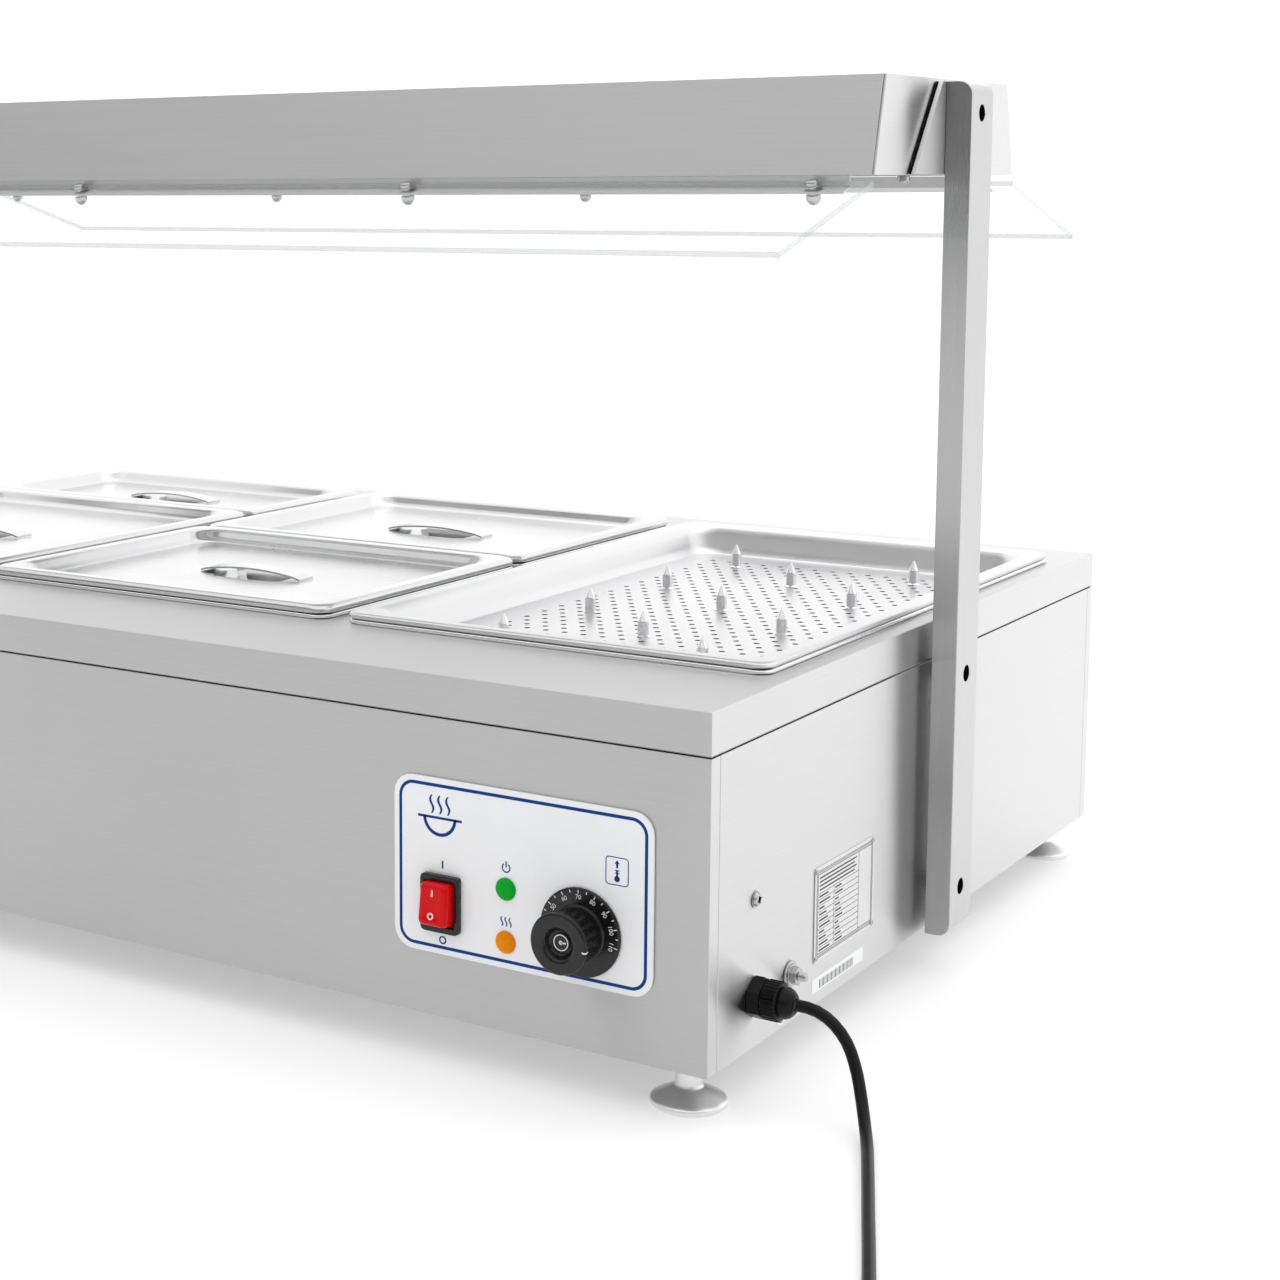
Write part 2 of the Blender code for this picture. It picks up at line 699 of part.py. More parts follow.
def make_lid(name, centre, size):
    """A lid with a turned-down edge, a flat rim and a sunk middle, and a strap handle across it."""
    half = (size[0] / 2 - FLANGE_GAP, size[1] / 2 - FLANGE_GAP)
    bottom = PAN_TOP_Z + GAP
    rim = bottom + LID_RIM_HEIGHT
    panel = rim - LID_PANEL_DROP

    def ring(inset, radius, z):
        return rounded_ring(centre, (half[0] - inset, half[1] - inset), radius, z)

    slope = 0.006
    rings = (
        ring(LID_RIM_WIDTH + slope, 0.016, panel - LID_SHEET),
        ring(LID_RIM_WIDTH, 0.02, rim - LID_SHEET),
        ring(LID_SHEET, FLANGE_CORNER - LID_SHEET, rim - LID_SHEET),
        ring(LID_SHEET, FLANGE_CORNER - LID_SHEET, bottom),
        ring(0, FLANGE_CORNER, bottom),
        ring(0, FLANGE_CORNER, rim),
        ring(LID_RIM_WIDTH + 0.001, 0.019, rim),
        ring(LID_RIM_WIDTH + slope + 0.001, 0.015, panel),
    )
    lid = ring_solid(name, rings, "polished_steel", (*centre, bottom))
    outer_dish = (
        (0, -DISH_DEPTH),
        (DISH_FLOOR_RADIUS, -DISH_DEPTH),
        (DISH_RADIUS, -0.0015),
        (DISH_RADIUS, -0.0005),
        (0, -0.0005),
    )
    inner_dish = (
        (0, LID_SHEET - DISH_DEPTH),
        (DISH_FLOOR_RADIUS - LID_SHEET, LID_SHEET - DISH_DEPTH),
        (DISH_RADIUS - LID_SHEET, -0.0005),
        (DISH_RADIUS - LID_SHEET, 0.005),
        (0, 0.005),
    )
    middle = (*centre, panel)
    join(lid, oval_mesh(outer_dish, middle))
    cut(lid, oval_mesh(inner_dish, middle))

    steps = 10
    lower, upper = [], []
    for i in range(steps + 1):
        x = centre[0] - STRAP_LENGTH / 2 + STRAP_LENGTH * i / steps
        height = panel + GAP + STRAP_RISE * math.sin(math.pi * i / steps) ** 0.7
        lower.append((x, height))
        upper.append((x, height + STRAP_THICK))
    outline = lower + list(reversed(upper))
    handle = prism_mesh(outline, "y", centre[1] - STRAP_WIDTH / 2, centre[1] + STRAP_WIDTH / 2)
    smooth(place(f"{name}_handle", handle, "polished_steel", (*centre, panel)))


def make_bar(name, column, y):
    """A bar across an opening, under the flanges where two pans meet."""
    half = PAN_WIDTH / 2 - FLANGE_LIP - 0.0005
    low = (column - half, y - 0.007, TOP - 0.006)
    high = (column + half, y + 0.007, TOP)
    return box(name, low, high, "polished_steel")


PAN_DEPTH = 0.100
MEAT_PAN_DEPTH = 0.065
THIRD_DEPTH_Y = 0.1765


def make_pans():
    """Two half-size pans in the middle, a two-thirds and a one-third pan on the left, each with a lid."""
    half_y = WELL_DEPTH_Y / 2
    layout = (
        ("half_front", COLUMNS[1], PANS_FRONT, half_y),
        ("half_rear", COLUMNS[1], PANS_FRONT + half_y, half_y),
        ("two_thirds", COLUMNS[2], PANS_FRONT, WELL_DEPTH_Y - THIRD_DEPTH_Y),
        ("one_third", COLUMNS[2], PANS_BACK - THIRD_DEPTH_Y, THIRD_DEPTH_Y),
    )
    for label, column, start, length in layout:
        centre = (column, start + length / 2)
        make_pan(f"pan_{label}", centre, (PAN_WIDTH, length), PAN_DEPTH)
        make_lid(f"lid_{label}", centre, (PAN_WIDTH, length))
    make_bar("pan_bar_centre", COLUMNS[1], PANS_FRONT + half_y)
    make_bar("pan_bar_left", COLUMNS[2], PANS_BACK - THIRD_DEPTH_Y)
    centre = (COLUMNS[0], PANS_FRONT + half_y)
    make_pan("meat_pan", centre, (PAN_WIDTH, WELL_DEPTH_Y), MEAT_PAN_DEPTH)


TRAY_DEPTH = 0.020
SPIKE_RADIUS = 0.004
SPIKE_HEIGHT = 0.0198
SPIKE_PITCH = (0.078, 0.124)
HOLE_RADIUS = 0.003
HOLE_PITCH = (0.034, 0.040)


def spike_places(centre):
    """Three lines of spikes from front to back: four, three and four, each line set between its neighbours."""
    places = []
    for line, count in ((-1, 4), (0, 3), (1, 4)):
        for i in range(count):
            x = centre[0] + line * SPIKE_PITCH[0]
            y = centre[1] + (i - (count - 1) / 2) * SPIKE_PITCH[1]
            places.append((x, y))
    return places


def make_spiked_tray():
    """A shallow perforated tray in the meat pan, with pointed spikes that hold a joint of meat."""
    centre = (COLUMNS[0], PANS_FRONT + WELL_DEPTH_Y / 2)
    bottom = PAN_TOP_Z + GAP
    rings = list(pan_rings(centre, (PAN_WIDTH, WELL_DEPTH_Y), TRAY_DEPTH, bottom, 0.004))
    inset = 0.0035  # the tray's wall nests inside the pan's
    for index in (0, 1, 2, 5, 6, 7):
        middle = Vector((*centre, 0))
        moved = []
        for point in rings[index]:
            away = point - middle
            shift = Vector((math.copysign(inset, away.x), math.copysign(inset, away.y), 0))
            moved.append(point - shift)
        rings[index] = moved
    tray = ring_solid("spiked_tray", rings, "polished_steel", (*centre, bottom))
    floor = bottom - TRAY_DEPTH
    spikes = bmesh.new()
    places = spike_places(centre)
    for x, y in places:
        profile = (
            (SPIKE_RADIUS, 0.0004),
            (SPIKE_RADIUS, SPIKE_HEIGHT - 0.008),
            (0, SPIKE_HEIGHT),
        )
        lathe_mesh(profile, "z", (x, y, floor), 8, spikes)
    join(tray, spikes)
    holes = bmesh.new()
    for row in range(-5, 6):
        for column in range(-3, 4):
            x = centre[0] + (column + 0.5 * (row % 2)) * HOLE_PITCH[0]
            y = centre[1] + row * HOLE_PITCH[1]
            near_spike = min(math.dist((x, y), spike) for spike in places) < 0.009
            if near_spike or abs(x - centre[0]) > 0.115:
                continue
            lathe_mesh(((HOLE_RADIUS, -0.005), (HOLE_RADIUS, 0.005)), "z", (x, y, floor), 6, holes)
    return cut(tray, holes)


# ---------------------------------------------------------------- bridge


SPACER_RADIUS = 0.0065


def make_post(name, side):
    """A post beside the body: two round spacers stand it off, its outer ends are rounded, three holes face out."""
    inner = side * (WIDTH / 2 + POST_GAP)
    outer = inner + side * POST_THICK
    low, high = TOP + POST_BOTTOM, TOP + POST_TOP
    outline = [(inner, low), (inner, high)]
    steps = 4
    for centre_z, start in ((high - POST_CORNER, 90), (low + POST_CORNER, 0)):
        for i in range(steps + 1):
            angle = math.radians(start - 90 * i / steps)
            x = outer - side * POST_CORNER * (1 - math.cos(angle))
            outline.append((x, centre_z + POST_CORNER * math.sin(angle)))
    half = POST_WIDTH / 2
    post = prism(name, outline, "y", BRIDGE_Y - half, BRIDGE_Y + half, "brushed_steel")
    for height in POST_HOLES[1:]:
        reach = sorted((side * (GAP - POST_GAP), side * 0.002))
        spacer = ((SPACER_RADIUS, reach[0]), (SPACER_RADIUS, reach[1]))
        join(post, lathe_mesh(spacer, "x", (inner, BRIDGE_Y, TOP + height), 20))
    for height in POST_HOLES:
        profile = ((POST_HOLE_RADIUS, -0.013), (POST_HOLE_RADIUS, 0.013))
        cut(post, lathe_mesh(profile, "x", (outer, BRIDGE_Y, TOP + height), 20))
    return post


def hood_outline(inset):
    """Half outline of the hood's outside, from the top's middle down, moved in by inset."""
    low, high = TOP + HOOD_BOTTOM, TOP + HOOD_TOP
    slope = (HOOD_BOTTOM_DEPTH - HOOD_TOP_DEPTH) / 2 / (high - low)
    return (HOOD_TOP_DEPTH / 2 - inset, high - inset), (HOOD_BOTTOM_DEPTH / 2 - inset, low), slope


def make_hood():
    """The hood is a folded channel, open below, with a sheet let into each end."""
    top_corner, bottom_corner, _ = hood_outline(0)
    inner_top, inner_bottom, _ = hood_outline(SHEET)
    lip = bottom_corner[0] - HOOD_LIP
    half = [
        top_corner,
        bottom_corner,
        (lip, bottom_corner[1]),
        (lip, bottom_corner[1] + SHEET),
        (inner_bottom[0] - 0.0003, bottom_corner[1] + SHEET),
        inner_top,
    ]
    outline = [(BRIDGE_Y + a, z) for a, z in mirrored_outline(half)]
    ends = WIDTH / 2 - SHEET - GAP
    prism("hood_shell", outline, "x", -ends, ends, "brushed_steel")

    end_outline = [(BRIDGE_Y + a, z) for a, z in mirrored_outline([top_corner, bottom_corner])]
    bracket_half = (0.0255, 0.071)
    low, high = TOP + HOOD_BOTTOM + 0.0005, TOP + POST_TOP
    bracket = mirrored_outline([(bracket_half[0], high), (bracket_half[1], low)])
    bracket = [(BRIDGE_Y + a, z) for a, z in bracket]
    for label, side in (("right", 1), ("left", -1)):
        near, far = sorted((side * (WIDTH / 2 - SHEET), side * WIDTH / 2))
        prism(f"hood_end_{label}", end_outline, "x", near, far, "brushed_steel")
        near, far = sorted((side * (WIDTH / 2 + GAP), side * (WIDTH / 2 + POST_GAP - GAP)))
        prism(f"hood_bracket_{label}", bracket, "x", near, far, "brushed_steel")


def make_hood_inside():
    """A bent reflector over a long heat lamp, which is held by a ceramic socket at each end."""
    z = TOP + HOOD_BOTTOM + 0.012
    half = [(0.030, z + 0.030), (0.085, z), (0.085, z - 0.001), (0.0295, z + 0.029)]
    outline = [(BRIDGE_Y + a, height) for a, height in mirrored_outline(half)]
    reach = WIDTH / 2 - 0.03
    prism("hood_reflector", outline, "x", -reach, reach, "polished_steel")
    tube_radius, tube_z = 0.007, z + 0.010
    tube_half = reach - 0.045
    profile = ((tube_radius, -tube_half), (tube_radius, tube_half))
    lathe("heat_lamp_tube", profile, "x", (0, BRIDGE_Y, tube_z), "lamp_glass", 16)
    for label, side in (("right", 1), ("left", -1)):
        near, far = sorted((side * (tube_half + GAP), side * (tube_half + 0.026)))
        box(
            f"lamp_socket_{label}",
            (near, BRIDGE_Y - 0.012, tube_z - 0.010),
            (far, BRIDGE_Y + 0.012, tube_z + 0.012),
            "ceramic",
        )


def make_guards():
    """Sloping clear guards under the hood's front and rear edges, each on an angle strip fixed to the hood."""
    along = Vector((math.cos(GUARD_SLOPE), math.sin(GUARD_SLOPE)))
    across = Vector((-along.y, along.x)) * (GUARD_THICK / 2)
    start = Vector((FRONT + GUARD_EDGE_Y, TOP + GUARD_EDGE_Z))
    end = start + along * GUARD_LENGTH
    sheet = [start - across, end - across, end + across, start + across]

    def under_guard(y):
        middle = start.y + (y - start.x) * math.tan(GUARD_SLOPE)
        return middle - GUARD_THICK / 2 / math.cos(GUARD_SLOPE) - GAP

    wall = end.x + 0.0015
    lip = wall - STRIP_LIP
    outer = wall + SHEET
    hood_under = TOP + HOOD_BOTTOM - GAP
    strip = [
        Vector((outer, hood_under)),
        Vector((wall, hood_under)),
        Vector((wall, under_guard(wall))),
        Vector((lip, under_guard(lip))),
        Vector((lip, under_guard(lip) - SHEET)),
        Vector((outer, under_guard(outer) - SHEET)),
    ]
    for label, flip in (("front", 1), ("rear", -1)):
        for kind, points, reach, slot in (
            ("guard_glass", sheet, WIDTH / 2, "clear_glass"),
            ("guard_strip", strip, WIDTH / 2 - STRIP_INSET, "brushed_steel"),
        ):
            outline = [(BRIDGE_Y + flip * (p.x - BRIDGE_Y), p.y) for p in points]
            prism(f"{kind}_{label}", outline, "x", -reach, reach, slot)


# ---------------------------------------------------------------- mains lead

CORD_RADIUS = CORD_DIAMETER / 2
EXIT_X = RIGHT + GLAND_LENGTH


def make_gland():
    """A hexagon against the side panel and a tapering cap that grips the lead."""
    centre = (RIGHT, FRONT + GLAND_Y, GLAND_Z)
    lathe("gland_nut", ((0.0135, GAP), (0.0135, 0.0085)), "x", centre, "black_plastic", 6)
    cap = (
        (0.0118, 0.0088),
        (0.0122, 0.0100),
        (0.0118, 0.0205),
        (0.0100, 0.0235),
        (0.0070, 0.0262),
        (0.0052, GLAND_LENGTH),
    )
    lathe("gland_cap", cap, "x", centre, "black_plastic", 24)
    stud = ((0.009, GAP), (0.009, 0.0016), (0.0058, 0.0016), (0.0058, 0.0068), (0.003, 0.0068), (0.003, 0.0120))
    lathe("earth_stud", stud, "x", (RIGHT, FRONT + EARTH_Y, EARTH_Z), "polished_steel", 12)


# The lead's way from the gland, as x from the body's right side, y from its front, z from the ground.
LEAD_ROUTE = (
    (0.0290, 0.0620, 0.0630),
    (0.0400, 0.0619, 0.0624),
    (0.0520, 0.0612, 0.0572),
    (0.0625, 0.0595, 0.0470),
    (0.0700, 0.0560, 0.0330),
    (0.0765, 0.0490, 0.0190),
    (0.0840, 0.0370, 0.0085),
    (0.0930, 0.0190, 0.0042),
    (0.1030, -0.0040, 0.0040),
    (0.1150, -0.0320, 0.0040),
    (0.1290, -0.0650, 0.0040),
    (0.1440, -0.1000, 0.0040),
    (0.1600, -0.1380, 0.0040),
    (0.1730, -0.1695, 0.0040),
    (0.1815, -0.1905, 0.0040),
)
COIL_CENTRE = (0.155, -0.2545)  # from the body's right side and front
COIL_HALF_WIDTH = 0.0116
COIL_HEIGHT = 0.0158
PLUG_RADIUS = 0.019
TAIL_LENGTH = 0.030  # from where the lead leaves the coil to the plug's sleeve


def smooth_route(points, spacing):
    """Points at an even spacing along a Catmull-Rom curve through points."""
    points = [Vector(p) for p in points]
    ends = [points[0] * 2 - points[1]] + points + [points[-1] * 2 - points[-2]]
    fine = []
    for i in range(1, len(ends) - 2):
        before, start, end, after = ends[i - 1 : i + 3]
        for step in range(20):
            t = step / 20
            fine.append(
                0.5
                * (
                    2 * start
                    + (end - before) * t
                    + (2 * before - 5 * start + 4 * end - after) * t**2
                    + (3 * start - before - 3 * end + after) * t**3
                )
            )
    fine.append(points[-1])
    kept = [fine[0]]
    travelled = 0.0
    for previous, point in zip(fine, fine[1:]):
        travelled += (point - previous).length
        if travelled >= spacing:
            kept.append(point)
            travelled = 0.0
    if (kept[-1] - fine[-1]).length > spacing / 2:
        kept.append(fine[-1])
    return kept


def make_lead():
    """The lead's visible run, its stored coil, and the plug beside the coil."""
    route = [(RIGHT + x, FRONT + y, z) for x, y, z in LEAD_ROUTE]
    run = smooth_route(route, 2.2 * CORD_DIAMETER)
    poly_curve("mains_cord", run, CORD_DIAMETER, "cord_rubber", 2)

    centre = (RIGHT + COIL_CENTRE[0], FRONT + COIL_CENTRE[1], 0)
    low, high = GAP, COIL_HEIGHT
    inner = COIL_MID_RADIUS - COIL_HALF_WIDTH
    outer = COIL_MID_RADIUS + COIL_HALF_WIDTH
    corner = CORD_RADIUS * 0.8
    section = (
        (inner, low + corner),
        (inner + corner, low),
        (outer - corner, low),
        (outer, low + corner),
        (outer, high - corner),
        (outer - corner, high),
        (inner + corner, high),
        (inner, high - corner),
    )
    coil = lathe_ring_mesh(section, "z", centre, 40, bmesh.new())
    smooth(place("cord_coil", coil, "cord_rubber", centre))

    sleeve_end = (centre[0] - TAIL_LENGTH, centre[1] - outer + CORD_RADIUS, PLUG_RADIUS + GAP)
    profile = (
        (0.0045, 0),
        (0.0075, -0.016),
        (0.0150, -0.022),
        (PLUG_RADIUS, -0.029),
        (PLUG_RADIUS, -0.044),
        (PLUG_RADIUS - 0.001, -0.045),
    )
    plug = lathe("mains_plug", profile, "x", sleeve_end, "black_plastic", 24)
    pins = bmesh.new()
    for offset in (-0.0095, 0.0095):
        pin_centre = (sleeve_end[0], sleeve_end[1] + offset, sleeve_end[2])
        lathe_mesh(((0.0016, -0.064), (0.0024, -0.062), (0.0024, -0.040)), "x", pin_centre, 10, pins)
    join(plug, pins)


# ---------------------------------------------------------------- build

for old in list(bpy.data.objects):
    bpy.data.objects.remove(old, do_unlink=True)

MATERIALS = {name: material(name, *finish) for name, finish in FINISHES.items()}

make_top_plate()
make_front_panel()
make_side_panel("right_panel", 1)
make_side_panel("left_panel", -1)
make_rear_panel()
make_base_plate()
make_feet()
make_water_well()
make_heaters()
make_heat_shield()
make_control_plate()
make_switch()
make_lamps()
make_thermostat()
make_pans()
make_spiked_tray()
make_post("post_right", 1)
make_post("post_left", -1)
make_hood()
make_hood_inside()
make_guards()
make_gland()
make_lead()
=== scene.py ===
"""The looks of a countertop steam table unit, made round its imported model."""

import json
import math
import bmesh
import bpy
from mathutils import Matrix, Vector


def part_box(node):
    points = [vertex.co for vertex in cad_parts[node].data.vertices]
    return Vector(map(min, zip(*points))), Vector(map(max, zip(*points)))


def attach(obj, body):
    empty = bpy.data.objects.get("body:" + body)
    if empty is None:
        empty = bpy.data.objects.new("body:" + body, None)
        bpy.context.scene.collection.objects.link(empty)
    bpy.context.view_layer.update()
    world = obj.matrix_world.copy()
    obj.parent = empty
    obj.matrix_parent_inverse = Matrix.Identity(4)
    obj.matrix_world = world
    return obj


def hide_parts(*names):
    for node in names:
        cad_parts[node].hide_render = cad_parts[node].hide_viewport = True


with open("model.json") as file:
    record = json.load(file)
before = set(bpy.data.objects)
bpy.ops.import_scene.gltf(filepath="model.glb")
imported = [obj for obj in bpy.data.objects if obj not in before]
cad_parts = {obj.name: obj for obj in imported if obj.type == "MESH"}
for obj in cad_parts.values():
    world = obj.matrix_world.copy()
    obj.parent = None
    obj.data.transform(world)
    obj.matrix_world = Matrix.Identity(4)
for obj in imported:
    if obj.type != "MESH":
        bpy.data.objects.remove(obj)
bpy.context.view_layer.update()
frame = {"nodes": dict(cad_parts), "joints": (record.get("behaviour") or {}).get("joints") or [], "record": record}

# ---- planes and places

PLATE_LOW, PLATE_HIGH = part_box("top_plate")
RIGHT, FRONT, TOP = PLATE_HIGH.x, PLATE_LOW.y, PLATE_HIGH.z
HAIR = 0.0001  # print and labels stand this far out of what they are on


def middle(node):
    low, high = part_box(node)
    return (low + high) / 2


def half_size(node):
    low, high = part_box(node)
    return (high - low) / 2


# ---- camera

CAMERA_LENS, CAMERA_SENSOR = 64.63, 36
CAMERA_SHIFT = (0.203, -0.125)
CAMERA_PLACE = (RIGHT + 0.58438, FRONT - 1.17978, TOP + 0.30253)
CAMERA_RIGHT = (0.82223, 0.56914, -0.00445)
CAMERA_DOWN = (0.06828, -0.10639, -0.99198)
CAMERA_FORWARD = (-0.56505, 0.81533, -0.12634)


def make_camera():
    data = bpy.data.cameras.new("camera")
    data.lens = CAMERA_LENS
    data.sensor_width = CAMERA_SENSOR
    data.shift_x, data.shift_y = CAMERA_SHIFT
    camera = bpy.data.objects.new("camera", data)
    right, up = Vector(CAMERA_RIGHT), -Vector(CAMERA_DOWN)
    back = -Vector(CAMERA_FORWARD)
    turn = Matrix((right, up, back)).transposed().to_4x4()
    camera.matrix_world = Matrix.Translation(CAMERA_PLACE) @ turn
    bpy.context.scene.collection.objects.link(camera)
    bpy.context.scene.camera = camera


make_camera()


# ---- node helpers

MAP_SOCKETS = ("From Min", "From Max", "To Min", "To Max")


class Shader:
    """A material with a Principled shader, and short ways to add nodes to it."""

    def __init__(self, name, colour, roughness, metallic=0.0, **sockets):
        self.material = bpy.data.materials.new(name)
        self.material.use_nodes = True
        self.material.diffuse_color = (*colour, 1.0)
        self.tree = self.material.node_tree
        self.principled = self.tree.nodes["Principled BSDF"]
        self.set("Base Color", (*colour, 1.0))
        self.set("Roughness", roughness)
        self.set("Metallic", metallic)
        for socket, value in sockets.items():
            self.set(socket.replace("_", " "), value)

    def set(self, socket, value):
        self.principled.inputs[socket].default_value = value

    def node(self, kind, **values):
        made = self.tree.nodes.new(kind)
        for key, value in values.items():
            setattr(made, key, value)
        return made

    def link(self, start, end):
        self.tree.links.new(start, end)

    def noise(self, scale, stretch=(1, 1, 1), detail=3.0, rough=0.5):
        """Noise in object coordinates, in metres, stretched."""
        made = self.node("ShaderNodeTexNoise")
        for socket, value in (("Scale", scale), ("Detail", detail), ("Roughness", rough)):
            made.inputs[socket].default_value = value
        mapping = self.node("ShaderNodeMapping")
        mapping.inputs["Scale"].default_value = stretch
        self.link(self.node("ShaderNodeTexCoord").outputs["Object"], mapping.inputs["Vector"])
        self.link(mapping.outputs["Vector"], made.inputs["Vector"])
        return made.outputs["Fac"]

    def ramp(self, factor, stops):
        made = self.node("ShaderNodeValToRGB")
        elements = made.color_ramp.elements
        for element, (position, colour) in zip(elements, stops):
            element.position = position
            element.color = (*colour, 1.0)
        self.link(factor, made.inputs["Fac"])
        return made.outputs["Color"]

    def spread(self, factor, low, high, start=0.3, stop=0.7):
        made = self.node("ShaderNodeMapRange")
        for socket, value in zip(MAP_SOCKETS, (start, stop, low, high)):
            made.inputs[socket].default_value = value
        self.link(factor, made.inputs["Value"])
        return made.outputs["Result"]

    def combine(self, first, second, operation="ADD"):
        made = self.node("ShaderNodeMath", operation=operation)
        self.link(first, made.inputs[0])
        if isinstance(second, float):
            made.inputs[1].default_value = second
        else:
            self.link(second, made.inputs[1])
        return made.outputs["Value"]

    def mix(self, factor, first, second):
        made = self.node("ShaderNodeMix", data_type="FLOAT")
        self.link(factor, made.inputs[0])
        self.link(first, made.inputs[2])
        self.link(second, made.inputs[3])
        return made.outputs[0]

    def bump(self, height, strength, distance):
        made = self.node("ShaderNodeBump")
        made.inputs["Strength"].default_value = strength
        made.inputs["Distance"].default_value = distance
        self.link(height, made.inputs["Height"])
        self.link(made.outputs["Normal"], self.principled.inputs["Normal"])


def grey(value):
    return (value, value, value * 1.01)


GRAIN = (2600, 14)  # how fine the brushing is, across it and along it
STREAK = (420, 3)


def brushed(name, tone, rough, upright=False, strength=0.25):
    """Sheet steel brushed along its length: across the front and the top, from front to back on the
    sides, or upwards. Its front faces get painted shade, a darker base colour, unless it is upright."""
    made = Shader(name, grey(tone), rough, 1.0)
    normal = made.node("ShaderNodeNewGeometry").outputs["Normal"]
    way = made.node("ShaderNodeCombineXYZ")
    if upright:
        way.inputs["X"].default_value = 0.01
        way.inputs["Z"].default_value = 1.0
    else:
        parts = made.node("ShaderNodeSeparateXYZ")
        made.link(normal, parts.inputs["Vector"])
        side = made.combine(parts.outputs["X"], 2.0, "POWER")
        sideways = made.spread(side, 0.0, 1.0, 0.45, 0.55)
        made.link(sideways, way.inputs["Y"])
        made.link(made.spread(sideways, 1.0, 0.0, 0.0, 1.0), way.inputs["X"])
        # Faces towards the front are picked out here for painted shade, which darkens their base colour below.
        outside_front_shade = made.spread(parts.outputs["Y"], 0.0, 1.0, -0.75, -0.45)

    def lines(scales, detail, roughness):
        fine, drawn = scales
        if upright:
            return made.noise(1.0, (fine, fine, drawn), detail, roughness)
        across = made.noise(1.0, (drawn, fine, fine), detail, roughness)
        along = made.noise(1.0, (fine, drawn, fine), detail, roughness)
        return made.mix(sideways, across, along)

    grain, streak = lines(GRAIN, 4.0, 0.6), lines(STREAK, 3.0, 0.5)
    both = made.combine(grain, made.combine(streak, 0.35, "MULTIPLY"))
    colour = made.ramp(both, ((0.42, grey(tone * 0.95)), (0.92, grey(tone * 1.03))))
    if not upright:
        # Painted shade: front faces get a darker copy of the steel colour, standing in for the dimmer light in
        # front.
        painted_front_shade = made.ramp(both, ((0.42, grey(tone * 0.80)), (0.92, grey(tone * 0.88))))
        colour = made.mix(outside_front_shade, painted_front_shade, colour)
    made.link(colour, made.principled.inputs["Base Color"])
    wear = made.combine(both, made.combine(made.noise(3.0), 0.7, "MULTIPLY"))
    roughness = made.spread(wear, rough - 0.05, rough + 0.06, 0.7, 1.3)
    made.link(roughness, made.principled.inputs["Roughness"])
    made.bump(both, strength, 0.00004)
    made.set("Anisotropic", 1.0)
    tangent = made.node("ShaderNodeVectorMath", operation="CROSS_PRODUCT")
    made.link(normal, tangent.inputs[0])
    made.link(way.outputs["Vector"], tangent.inputs[1])
    made.link(tangent.outputs["Vector"], made.principled.inputs["Tangent"])
    return made.material


def satin(name, tone, rough):
    """Pressed pan steel: bright, with faint drawn marks and clouds."""
    made = Shader(name, grey(tone), rough, 1.0)
    cloud = made.noise(9.0, (1, 1, 1), 4.0, 0.55)
    fine = made.noise(900.0, (1, 1, 1), 2.0)
    made.link(made.spread(cloud, rough - 0.05, rough + 0.07), made.principled.inputs["Roughness"])
    made.link(made.ramp(cloud, ((0.3, grey(tone * 0.97)), (0.7, grey(tone * 1.02)))),
              made.principled.inputs["Base Color"])
    made.bump(made.combine(fine, made.combine(cloud, 2.0, "MULTIPLY")), 0.06, 0.00005)
    return made.material


def moulded(name, colour, rough, grain=0.15, scale=1500.0, spread=0.07, **sockets):
    """Moulded plastic or rubber with a fine surface."""
    made = Shader(name, colour, rough, 0.0, **sockets)
    fine = made.noise(scale, (1, 1, 1), 2.0)
    cloud = made.noise(30.0, (1, 1, 1), 3.0)
    dark = tuple(c * (1 - spread) for c in colour)
    light = tuple(min(1.0, c * (1 + spread)) for c in colour)
    made.link(made.ramp(cloud, ((0.3, dark), (0.7, light))), made.principled.inputs["Base Color"])
    made.link(made.spread(fine, rough - 0.04, rough + 0.06), made.principled.inputs["Roughness"])
    made.bump(fine, grain, 0.00005)
    return made.material


def lens(name, colour, rough, grain, scale, spread, gloss, glow, strength):
    """Coloured clear plastic with a faint glow behind it."""
    return moulded(name, colour, rough, grain, scale, spread, Specular_IOR_Level=gloss,
                   Emission_Color=(*glow, 1.0), Emission_Strength=strength)


